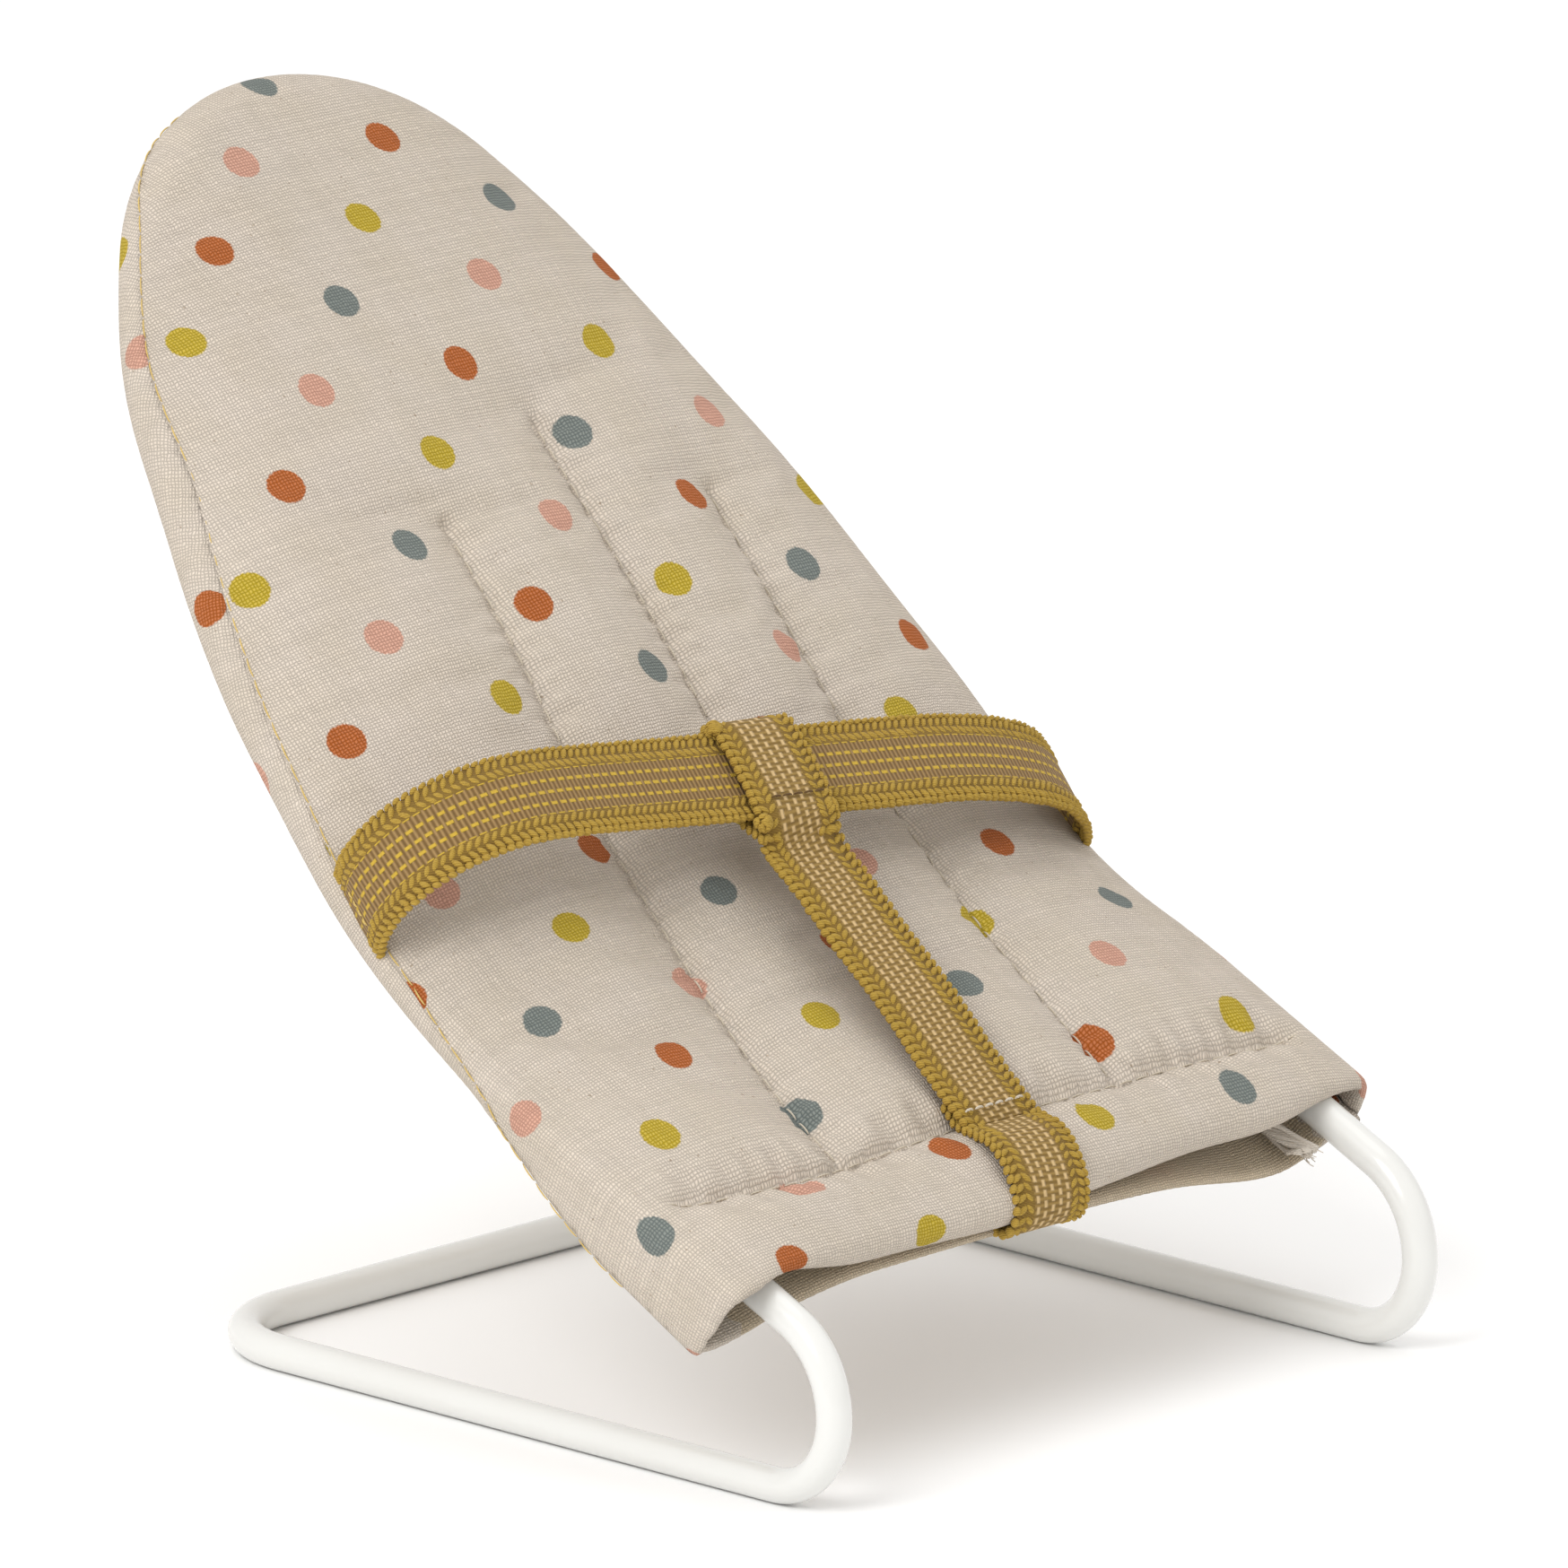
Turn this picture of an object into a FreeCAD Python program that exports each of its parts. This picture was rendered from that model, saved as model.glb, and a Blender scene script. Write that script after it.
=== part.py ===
"""Doll-size bouncer seat: one bent wire frame, a padded sleeve cover and two elastic straps.

Frame: +Z up, the front (the foot end) faces -Y, X = 0 is the plane of symmetry, millimetres.
The origin is on the floor, under the middle of the object's bounding box.

Every soft piece and stitch is placed in the seat's own coordinates:
    x     across the seat, the same as X
    run   length along the wire side rail, from the front bend up to the head
    lift  height above the rail's centre line, square to it, positive towards the sitter
"""
import FreeCAD
import Part
import Sketcher
import math
import os
from FreeCAD import Placement, Rotation, Vector

doc = FreeCAD.newDocument("BouncerSeat")

# ------------------------------------------------------------ driving dimensions

DIMENSIONS = [
    ("wire_diameter", 4.0, "coated steel wire"),
    ("frame_width", 91.4, "between the centres of the two floor runners"),
    ("frame_depth", 89.0, "start of the front bend to the rear crossbar's centre"),
    ("corner_radius", 13.0, "rear corner bends, to the wire's centre"),
    ("lower_bend_radius", 9.0, "front bend, lower half"),
    ("upper_bend_radius", 11.0, "front bend, upper half"),
    ("seat_slope", 24.0, "degrees, front part of the side rails"),
    ("back_slope", 46.0, "degrees, back part of the side rails"),
    ("seat_run", 40.0, "straight front part of the side rail"),
    ("hip_radius", 100.0, "bend between the seat and back parts"),
    ("head_run", 164.5, "front bend to the top of the head hoop, along the rail"),
    ("head_radius", 27.5, "top of the head hoop, to the wire's centre"),
    ("front_shift", 59.89, "start of the front bend, in front of the origin"),
    ("cloth", 0.5, "canvas thickness"),
    ("rim_margin", 4.7, "the cover's edge outside the wire's centre"),
    ("face_lift", 6.0, "the quilted face above the rail's line"),
    ("back_drop", 3.3, "the back panel's outside below the rail's line"),
    ("seam_lift", 0.6, "the side seam above the rail's line"),
    ("pad_low", 2.4, "the wadding's underside above the rail's line"),
    ("pad_high", 5.3, "the wadding's top above the rail's line"),
    ("quilt_gap", 0.8, "between two wadding channels, where the panel is stitched down"),
    ("quilt_top_run", 108.0, "top of the quilting, where the head pad starts"),
    ("hem_run", 16.5, "the hem's stitch line"),
    ("hem_front_run", 5.5, "the hem tube's front edge"),
    ("hem_length", 107.8, "the hem tube, side to side"),
    ("round_edge", 1.4, "rounding along the hem tube and round the strap's loop"),
    ("fray_inset", 5.5, "the frayed seam allowance, inside the right runner's line"),
    ("back_front_run", 9.0, "the back panel's front edge"),
    ("thread", 0.4, "stitching thread"),
    ("elastic_width", 10.0, "both straps"),
    ("elastic_thickness", 1.0, "both straps"),
    ("belt_run", 66.0, "where the lap belt crosses the middle of the seat"),
    ("belt_skew", -6.0, "degrees, the belt's right end is nearer the foot end"),
    ("belt_roll", 8.0, "degrees, the arch falls towards its right end at the loop"),
    ("loop_slack", 1.3, "the strap's loop past each edge of the belt"),
    ("loop_room", 0.75, "the strap's loop above and below the belt"),
    ("strap_gap", 0.6, "the crotch strap above the face at its stitched end"),
]

params = doc.addObject("Spreadsheet::Sheet", "params")
for row, (alias, value, meaning) in enumerate(DIMENSIONS, start=1):
    params.set("A%d" % row, alias)
    params.set("B%d" % row, str(value))
    params.set("C%d" % row, meaning)
    params.setAlias("B%d" % row, alias)
doc.recompute()


def size(alias):
    """A driving dimension, read from the sheet."""
    return float(getattr(params, alias))


def total(*terms):
    """A sum of cells, such as "+face_lift", "-cloth": its value and its formula."""
    value = sum(float(term[0] + "1") * size(term[1:]) for term in terms)
    formula = " ".join(term[0] + " params." + term[1:] for term in terms)
    return value, formula


WIRE = size("wire_diameter") / 2
HALF = size("frame_width") / 2
THREAD = size("thread")
STRAP = size("elastic_thickness")
SEAT = math.radians(size("seat_slope"))
BACK = math.radians(size("back_slope"))
HIP_START = size("seat_run")
HIP_END = HIP_START + size("hip_radius") * (BACK - SEAT)
HEAD_CENTRE = size("head_run") - size("head_radius")
NOSE_Y = -size("front_shift") - size("lower_bend_radius")
NOSE_Z = WIRE + size("lower_bend_radius")
EXIT_Y = NOSE_Y + size("upper_bend_radius") * (1 - math.sin(SEAT))
EXIT_Z = NOSE_Z + size("upper_bend_radius") * math.cos(SEAT)
SIDE_VIEW = Placement(Vector(), Rotation(Vector(1, 1, 1), 120))
subparts = {}


def keep(name, item):
    """Give a finished object its node name and list it for export."""
    item.Label = name
    subparts[name] = item
    return item


# ------------------------------------------------------------ the seat's coordinates

def slope_at(run):
    """The rail's slope at a run, in radians."""
    return SEAT + (min(max(run, HIP_START), HIP_END) - HIP_START) / size("hip_radius")


def seat_point(x, run, lift):
    """A point given in the seat's coordinates."""
    slope = slope_at(run)
    front = min(run, HIP_START)
    back = max(run - HIP_END, 0)
    radius = size("hip_radius")
    y = EXIT_Y + front * math.cos(SEAT) + back * math.cos(BACK)
    z = EXIT_Z + front * math.sin(SEAT) + back * math.sin(BACK)
    y += radius * (math.sin(slope) - math.sin(SEAT))
    z -= radius * (math.cos(slope) - math.cos(SEAT))
    return Vector(x, y - lift * math.sin(slope), z + lift * math.cos(slope))


def seat_axes(x, run, lift, turn=0.0, roll=0.0):
    """A placement on the seat: X across, Y up the seat, Z towards the sitter, turned about
    Z and then rolled about Y, in degrees."""
    tilt = Rotation(Vector(1, 0, 0), math.degrees(slope_at(run)))
    spin = Rotation(Vector(0, 0, 1), turn)
    lean = Rotation(Vector(0, 1, 0), roll)
    return Placement(seat_point(x, run, lift), tilt.multiply(spin).multiply(lean))


def rail_spans(first, last):
    """The straight and bent spans of the rail between two runs: start, end and if bent."""
    stops = [first] + [run for run in (HIP_START, HIP_END) if first < run < last] + [last]
    return [(low, high, HIP_START <= low < HIP_END) for low, high in zip(stops, stops[1:])]


def rail_curves(x, lift, first, last):
    """The rail's line at one x and lift, as tangent lines and an arc."""
    curves = []
    for low, high, bent in rail_spans(first, last):
        start, middle, end = [seat_point(x, run, lift) for run in (low, (low + high) / 2, high)]
        curves.append(Part.ArcOfCircle(start, middle, end) if bent else Part.LineSegment(start, end))
    return curves


def hoop_arcs(margin, lift):
    """The hoop above the hip bend at a margin outside the wire's centre: its left side arc,
    head arc and right side arc, tangent to one another and to the rails."""
    rise = HEAD_CENTRE - HIP_END
    narrowing = HALF - size("head_radius")
    spread = (rise ** 2 + narrowing ** 2) / (2 * narrowing)
    side_radius = size("head_radius") + spread + margin
    side_centre = HALF + margin - side_radius
    head_turn = math.acos(rise / spread)
    side_turn = math.pi / 2 - head_turn

    def on_side(angle, sign):
        x = side_centre + side_radius * math.cos(angle)
        return seat_point(sign * x, HIP_END + side_radius * math.sin(angle), lift)

    def on_head(angle):
        reach = size("head_radius") + margin
        return seat_point(reach * math.sin(angle), HEAD_CENTRE + reach * math.cos(angle), lift)

    left = [on_side(side_turn * part, -1) for part in (0, 0.5, 1)]
    head = [on_head(head_turn * part) for part in (-1, 0, 1)]
    right = [on_side(side_turn * part, 1) for part in (1, 0.5, 0)]
    return [Part.ArcOfCircle(*points) for points in (left, head, right)]


# ------------------------------------------------------------ builders

def swept_wire(name, curves, diameter):
    """A round wire or thread along tangent curves; the diameter is a cell's alias."""
    path = doc.addObject("Part::Feature", name + "_path")
    path.Shape = Part.Wire([curve.toShape() for curve in curves])
    section = doc.addObject("Part::Circle", name + "_section")
    section.setExpression("Radius", "params.%s / 2" % diameter)
    start = curves[0].value(curves[0].FirstParameter)
    heading = Vector(*curves[0].tangent(curves[0].FirstParameter)[0])
    section.Placement = Placement(start, Rotation(Vector(0, 0, 1), heading))
    sweep = doc.addObject("Part::Sweep", name)
    sweep.Sections = [section]
    sweep.Spine = (path, ["Edge%d" % (number + 1) for number in range(len(curves))])
    sweep.Solid = True
    return keep(name, sweep)


def straight_wire(name, start, direction, length):
    """A straight length of wire, whose length is a formula of the sheet."""
    rod = doc.addObject("Part::Cylinder", name)
    rod.setExpression("Radius", "params.wire_diameter / 2")
    rod.setExpression("Height", length)
    rod.Placement = Placement(start, Rotation(Vector(0, 0, 1), direction))
    return keep(name, rod)


def plate(name, low, high, first, last):
    """A plate as wide as the cover that follows the rail between two runs and two lifts: a
    sketch on the plane of symmetry, extruded both ways. low and high come from total()."""
    spans = rail_spans(first, last)
    curves = rail_curves(0, low[0], first, last) + rail_curves(0, high[0], first, last)
    for run in (first, last):
        ends = seat_point(0, run, low[0]), seat_point(0, run, high[0])
        curves.append(Part.LineSegment(*ends))
    sketch = doc.addObject("Sketcher::SketchObject", name + "_side")
    sketch.Placement = SIDE_VIEW
    for curve in curves:
        curve.transform(SIDE_VIEW.inverse().toMatrix())
        sketch.addGeometry(curve, False)
    for number, (_, _, bent) in enumerate(spans):
        if not bent:
            continue
        for offset, lift in ((0, low), (len(spans), high)):
            radius = Sketcher.Constraint("Radius", number + offset, curves[number + offset].Radius)
            index = sketch.addConstraint(radius)
            sketch.setExpression("Constraints[%d]" % index, "params.hip_radius - (%s)" % lift[1])
    solid = doc.addObject("Part::Extrusion", name + "_plate")
    solid.Base = sketch
    solid.DirMode = "Normal"
    solid.Solid = True
    solid.Symmetric = True
    solid.setExpression("LengthFwd", "params.frame_width + 4 * params.rim_margin")
    return solid


def hoop_prism(name, margin):
    """The seat's outline at a margin outside the wire, extruded square to the back."""
    outline = doc.addObject("Sketcher::SketchObject", name + "_outline")
    outline.Placement = seat_axes(0, HIP_END, 0)
    flat = outline.Placement.inverse().toMatrix()
    left, head, right = hoop_arcs(margin, 0)
    corner = size("head_run")
    half = HALF + margin
    foot_left, foot_right = Vector(-half, -corner, 0), Vector(half, -corner, 0)
    for curve in (left, head, right):
        curve.transform(flat)
    shoulders = Vector(-half, 0, 0), Vector(half, 0, 0)
    sides = [Part.LineSegment(foot_left, shoulders[0]), Part.LineSegment(shoulders[1], foot_right)]
    outline.addGeometry([left, head, right] + sides + [Part.LineSegment(foot_right, foot_left)], False)
    prism = doc.addObject("Part::Extrusion", name + "_prism")
    prism.Base = outline
    prism.DirMode = "Normal"
    prism.Solid = True
    prism.Symmetric = True
    prism.setExpression("LengthFwd", "2 * params.frame_width")
    return prism


def combine(kind, name, *items):
    """A boolean of two or more objects: Cut, Common or Fuse."""
    result = doc.addObject("Part::" + kind, name)
    result.Base, result.Tool = items[:2]
    for number, item in enumerate(items[2:]):
        outer = doc.addObject("Part::" + kind, "%s_%d" % (name, number))
        outer.Base, outer.Tool = result, item
        result = outer
    return result


def box(name, width, length, height, placement):
    """A box centred across and along its placement, standing on it; sizes are formulas."""
    block = doc.addObject("Part::Box", name)
    block.setExpression("Length", width)
    block.setExpression("Width", length)
    block.setExpression("Height", height)
    doc.recompute()
    centre = Vector(-block.Length.Value / 2, -block.Width.Value / 2, 0)
    block.Placement = placement.multiply(Placement(centre, Rotation()))
    return block


def rounded(name, block, radius, edges):
    """A box with some edges rounded, by edge number."""
    fillet = doc.addObject("Part::Fillet", name)
    fillet.Base = block
    fillet.Edges = [(edge, radius, radius) for edge in edges]
    return fillet


def strip(name, centre_line, thickness, across):
    """A flat strap along a smooth planar line: across is its width as a vector, square to
    the line's plane."""
    line = Part.BSplineCurve()
    line.interpolate(centre_line)
    first, last = line.FirstParameter, line.LastParameter
    count = 4 * len(centre_line)
    sides = []
    for sign in (-1, 1):
        points = []
        for number in range(count + 1):
            at = first + (last - first) * number / count
            heading = Vector(*line.tangent(at)[0])
            outward = heading.cross(across).normalize()
            points.append(line.value(at) + outward * (sign * thickness / 2))
        side = Part.BSplineCurve()
        side.interpolate(points)
        sides.append(side)
    ends = [Part.LineSegment(sides[0].value(p), sides[1].value(q)).toShape()
            for p, q in ((sides[0].FirstParameter, sides[1].FirstParameter),
                         (sides[0].LastParameter, sides[1].LastParameter))]
    outline = Part.Wire(Part.__sortEdges__([side.toShape() for side in sides] + ends))
    face = Part.Face(outline)
    face.translate(across * -0.5)
    strap = doc.addObject("Part::Feature", name)
    strap.Shape = face.extrude(across)
    return keep(name, strap)


# ------------------------------------------------------------ the wire frame

def make_base():
    """The rear crossbar, its corners and the two floor runners."""
    corner = size("corner_radius")
    rear = -size("front_shift") + size("frame_depth")
    straight_wire("rear_crossbar", Vector(corner - HALF, rear, WIRE), Vector(1, 0, 0),
                  "params.frame_width - 2 * params.corner_radius")
    for side, sign, start_angle in (("left", -1, 90), ("right", 1, 0)):
        bend = doc.addObject("Part::Torus", "rear_corner_" + side)
        bend.setExpression("Radius1", "params.corner_radius")
        bend.setExpression("Radius2", "params.wire_diameter / 2")
        bend.Angle3 = 90
        centre = Vector(sign * (HALF - corner), rear - corner, WIRE)
        bend.Placement = Placement(centre, Rotation(Vector(0, 0, 1), start_angle))
        keep("rear_corner_" + side, bend)
        straight_wire("floor_runner_" + side, Vector(sign * HALF, -size("front_shift"), WIRE),
                      Vector(0, 1, 0), "params.frame_depth - params.corner_radius")


def make_front_bends():
    """The two springy bends, from the floor runner round to the seat's slope."""
    lower, upper = size("lower_bend_radius"), size("upper_bend_radius")
    slant = math.sqrt(0.5)
    for side, sign in (("left", -1), ("right", 1)):
        x = sign * HALF
        floor = Vector(x, -size("front_shift"), WIRE)
        knee = floor + Vector(0, -lower * slant, lower * (1 - slant))
        nose = Vector(x, NOSE_Y, NOSE_Z)
        turn = (math.pi / 2 - SEAT) / 2
        brow = nose + Vector(0, upper * (1 - math.cos(turn)), upper * math.sin(turn))
        exit_point = seat_point(x, 0, 0)
        curves = [Part.ArcOfCircle(floor, knee, nose), Part.ArcOfCircle(nose, brow, exit_point)]
        swept_wire("front_bend_" + side, curves, "wire_diameter")


def make_hoop():
    """The side rails inside the cover and the head hoop that joins them."""
    left, head, right = hoop_arcs(0, 0)
    swept_wire("side_rail_left", rail_curves(-HALF, 0, 0, HIP_END) + [left], "wire_diameter")
    swept_wire("side_rail_right", rail_curves(HALF, 0, 0, HIP_END) + [right], "wire_diameter")
    swept_wire("head_hoop", [head], "wire_diameter")


# ------------------------------------------------------------ the padded cover

# Seams between the wadding channels: x at the hem and x at the top of the quilting.
QUILT_SEAMS = [("left", -23.0, -13.7), ("centre", -2.6, 6.0), ("right", 17.5, 25.2)]


def make_panels():
    """The quilted front panel and the plain back panel, each a tray that meets the other at
    the side seam, with room inside for the hoop."""
    top = size("head_run") + 2 * size("rim_margin")
    outer = hoop_prism("outer", size("rim_margin"))
    inner = hoop_prism("inner", size("rim_margin") - size("cloth"))
    trays = (("front_panel", total("+seam_lift"), total("+face_lift"), total("+face_lift", "-cloth"),
              size("hem_run") - THREAD),
             ("back_panel", total("+seam_lift"), total("-back_drop"), total("-back_drop", "+cloth"),
              size("back_front_run")))
    for name, seam, outside, inside, first in trays:
        skin = combine("Common", name + "_outside", plate(name, seam, outside, first, top), outer)
        hollow = plate(name + "_inside", seam, inside, first - 1, top)
        room = combine("Common", name + "_room", hollow, inner)
        keep(name, combine("Cut", name, skin, room))


def channel_prism(name, front_left, front_right, top_left, top_right):
    """An upright prism over one wadding channel, from its corners in plan."""
    front = seat_point(0, size("hem_run") + THREAD, 0).y
    top = seat_point(0, size("quilt_top_run"), 0).y
    corners = [Vector(front_left, front, 0), Vector(front_right, front, 0),
               Vector(top_right, top, 0), Vector(top_left, top, 0)]
    plan = doc.addObject("Part::Feature", name + "_plan")
    plan.Shape = Part.Face(Part.makePolygon(corners + corners[:1]))
    prism = doc.addObject("Part::Extrusion", name + "_prism")
    prism.Base = plan
    prism.Dir = Vector(0, 0, 1)
    prism.DirMode = "Custom"
    prism.Solid = True
    prism.setExpression("LengthFwd", "params.head_run")
    return prism


def make_wadding():
    """Four wadding channels side by side and the head pad above them."""
    edge = HALF + size("rim_margin") - 2 * size("cloth")
    gap = size("quilt_gap") / 2
    fronts = [-edge] + [seam[1] for seam in QUILT_SEAMS] + [edge]
    tops = [-edge] + [seam[2] for seam in QUILT_SEAMS] + [edge]
    names = ("outer_left", "inner_left", "inner_right", "outer_right")
    inside = hoop_prism("wadding", size("rim_margin") - 2 * size("cloth"))
    low, high = total("+pad_low"), total("+pad_high")
    for number, name in enumerate(names):
        sheet = plate(name, low, high, size("hem_run"), size("quilt_top_run"))
        prism = channel_prism(name, fronts[number] + gap, fronts[number + 1] - gap,
                              tops[number] + gap, tops[number + 1] - gap)
        keep("wadding_" + name, combine("Common", "wadding_" + name, sheet, prism, inside))
    head = plate("head_pad", low, high, size("quilt_top_run") + 2 * gap,
                 size("head_run") + 2 * size("rim_margin"))
    keep("head_pad", combine("Common", "head_pad", head, inside))


def make_hem():
    """The rolled hem at the foot end and the frayed seam allowance inside its right end."""
    length = size("hem_run") - size("hem_front_run") - THREAD
    middle = size("hem_front_run") + length / 2
    block = box("hem_block", "params.hem_length", "params.hem_run - params.hem_front_run - params.thread",
                "params.pad_high - params.pad_low", seat_axes(0, middle, size("pad_low")))
    keep("hem_roll", rounded("hem_roll", block, size("round_edge"), (9, 10, 11, 12)))
    fray = box("fray_block", "params.elastic_width / 2", "params.elastic_width / 2", "3 * params.cloth",
               seat_axes(HALF - size("fray_inset"), size("back_front_run") + 1,
                         -size("back_drop") + size("cloth")))
    keep("seam_allowance_end", fray)


def make_stitches():
    """Threads: three quilting lines, the hem line and the line along the side seam."""
    face, top = total("+face_lift"), total("+face_lift", "+thread")
    for name, front, back in QUILT_SEAMS:
        sheet = plate("quilt_" + name, face, top, size("hem_run") + 1, size("quilt_top_run"))
        prism = channel_prism("quilt_" + name, front - THREAD / 2, front + THREAD / 2,
                              back - THREAD / 2, back + THREAD / 2)
        keep("quilt_stitch_" + name, combine("Common", "quilt_stitch_" + name, sheet, prism))
    hem = doc.addObject("Part::Cylinder", "hem_stitch")
    hem.setExpression("Radius", "params.thread / 2")
    hem.setExpression("Height", "params.frame_width")
    centre = seat_point(-HALF, size("hem_run"), size("face_lift") + THREAD / 2)
    hem.Placement = Placement(centre, Rotation(Vector(0, 0, 1), Vector(1, 0, 0)))
    keep("hem_stitch", hem)
    margin, lift = size("rim_margin") + THREAD / 2, size("seam_lift") + 2 * THREAD
    left, head, right = hoop_arcs(margin, lift)
    half = HALF + margin
    up = rail_curves(-half, lift, size("hem_run"), HIP_END)
    down = rail_curves(half, lift, size("hem_run"), HIP_END)[::-1]
    swept_wire("side_seam_stitch", up + [left, head, right] + down, "thread")


# ------------------------------------------------------------ the elastic straps

# The lap belt's line in its own plane, from the left side seam over the lap to the right
# edge: x across and lift. It stands clear of the seat, so that a doll fits under it.
BELT_LINE = [(-52.2, 0.2), (-52.4, 6.5), (-46.5, 13.3), (-34.0, 16.5), (-17.0, 16.9), (0.0, 15.2),
             (22.0, 11.9), (40.0, 9.4), (48.5, 8.9), (52.7, 5.6), (52.7, 0.0), (52.5, -3.4)]

# The crotch strap's stitched tail: run and lift round the hem, from its top to under it.
TAIL_LINE = [(15.6, 5.95), (11.5, 5.95), (7.6, 6.0), (5.1, 5.1), (4.7, 3.0), (6.2, 1.7), (10.0, 1.8)]


def make_belt():
    """The lap belt, with a bar tack just under each end."""
    plane = seat_axes(0, size("belt_run"), 0, size("belt_skew"))
    across = plane.Rotation.multVec(Vector(0, size("elastic_width"), 0))
    strip("lap_belt", [plane.multVec(Vector(x, 0, lift)) for x, lift in BELT_LINE], STRAP, across)
    for side, end in (("left", BELT_LINE[0]), ("right", BELT_LINE[-1])):
        at = plane.multiply(Placement(Vector(end[0], 0, end[1] - 3 * THREAD), Rotation()))
        tack = box("belt_tack_" + side, "params.elastic_thickness",
                   "params.elastic_width - 2 * params.thread", "2 * params.thread", at)
        keep("belt_tack_" + side, tack)


def make_strap_tail():
    """The lower end of the crotch strap, sewn round the hem, with its row of stitches."""
    across = Vector(size("elastic_width"), 0, 0)
    strip("strap_tail", [seat_point(0, run, lift) for run, lift in TAIL_LINE], STRAP, across)
    at = seat_axes(0, TAIL_LINE[0][0] - 2 * THREAD, TAIL_LINE[0][1] + STRAP / 2)
    tack = box("strap_tack", "params.elastic_width - 2 * params.thread", "params.thread",
               "params.thread", at)
    keep("strap_tack", tack)


def make_crotch_strap():
    """The crotch strap: a loop round the lap belt and a straight length down to the hem."""
    belt_lift = dict(BELT_LINE)[0.0]
    loop_axes = seat_axes(0, size("belt_run"), belt_lift, size("belt_skew"), size("belt_roll"))
    room = "params.elastic_width + 2 * params.loop_slack", "params.elastic_thickness + 2 * params.loop_room"
    wall = " + 2 * params.elastic_thickness"
    depth = STRAP + 2 * size("loop_room")
    outer_axes = loop_axes.multiply(Placement(Vector(0, 0, -depth / 2 - STRAP), Rotation()))
    inner_axes = loop_axes.multiply(Placement(Vector(0, 0, -depth / 2), Rotation()))
    outer = box("loop_outer", "params.elastic_width", room[0] + wall, room[1] + wall, outer_axes)
    inner = box("loop_inner", "2 * params.elastic_width", room[0], room[1], inner_axes)
    rounded_outer = rounded("loop_outer_round", outer, size("round_edge"), (9, 10, 11, 12))
    ring = combine("Cut", "strap_loop", rounded_outer, inner)

    foot = seat_point(0, size("hem_run") + STRAP, size("face_lift") + size("strap_gap") + STRAP / 2)
    reach = size("elastic_width") / 2 + size("loop_slack") + STRAP / 3
    top = loop_axes.multVec(Vector(0, -reach, STRAP / 2))
    length = (top - foot).Length
    lean = Rotation(Vector(1, 0, 0), math.degrees(math.atan2(top.z - foot.z, top.y - foot.y)))
    middle = Placement((foot + top) * 0.5, lean).multiply(Placement(Vector(0, 0, -STRAP / 2), Rotation()))
    band = box("strap_band", "params.elastic_width", "%.3f" % length, "params.elastic_thickness", middle)
    keep("crotch_strap", combine("Fuse", "crotch_strap", ring, band))

    tack_axes = Placement(top, lean).multiply(Placement(Vector(0, -2 * STRAP, STRAP / 2), Rotation()))
    tack = box("loop_tack", "params.elastic_width - 2 * params.thread", "params.thread",
               "params.thread", tack_axes)
    keep("loop_tack", tack)


# ------------------------------------------------------------ build, check and export

for make in (make_base, make_front_bends, make_hoop, make_panels, make_wadding, make_hem,
             make_stitches, make_belt, make_strap_tail, make_crotch_strap):
    make()
doc.recompute()

for item in doc.Objects:
    if "Invalid" in item.State or "Error" in item.State:
        raise RuntimeError("%s did not recompute: %s" % (item.Label, item.State))
for name, item in subparts.items():
    if item.Shape.isNull() or not item.Shape.isValid() or not item.Shape.Solids:
        raise RuntimeError("%s is not a valid solid" % name)

os.makedirs("parts", exist_ok=True)
for name, item in subparts.items():
    item.Shape.exportStep(os.path.join("parts", name + ".step"))
print("%d sub-parts written" % len(subparts))
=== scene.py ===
"""Looks of the doll-size bouncer seat: enamelled wire, quilted dotted cover and elastic straps.

Shapes are worked out in millimetres and scaled to metres when a mesh is made. Soft pieces use
the seat's own coordinates: x across, run along the wire side rail from the front bend, and
lift square to the rail's line, positive towards the sitter.
"""
import math
import random

import bpy
import numpy as np
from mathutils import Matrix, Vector, geometry


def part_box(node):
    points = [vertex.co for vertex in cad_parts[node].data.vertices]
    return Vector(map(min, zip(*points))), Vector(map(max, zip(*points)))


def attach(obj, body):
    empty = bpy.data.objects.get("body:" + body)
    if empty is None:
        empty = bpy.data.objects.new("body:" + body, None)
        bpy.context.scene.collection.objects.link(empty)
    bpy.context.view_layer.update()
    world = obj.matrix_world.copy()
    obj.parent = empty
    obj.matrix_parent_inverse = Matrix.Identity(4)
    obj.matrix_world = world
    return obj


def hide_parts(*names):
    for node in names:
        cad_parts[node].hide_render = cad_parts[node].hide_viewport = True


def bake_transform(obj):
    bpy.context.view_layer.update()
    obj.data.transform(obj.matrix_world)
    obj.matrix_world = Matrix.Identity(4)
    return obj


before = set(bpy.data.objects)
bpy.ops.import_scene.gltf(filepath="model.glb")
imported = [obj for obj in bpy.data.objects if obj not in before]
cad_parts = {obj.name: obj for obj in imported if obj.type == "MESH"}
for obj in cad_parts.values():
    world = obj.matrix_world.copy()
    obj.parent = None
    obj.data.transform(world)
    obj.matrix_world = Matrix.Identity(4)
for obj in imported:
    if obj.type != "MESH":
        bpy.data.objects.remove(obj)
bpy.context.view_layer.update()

MM = 0.001
AT_ONCE = 2000                # points compared at a time, to spare memory

# ---------- sizes shared with the frame

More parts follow.
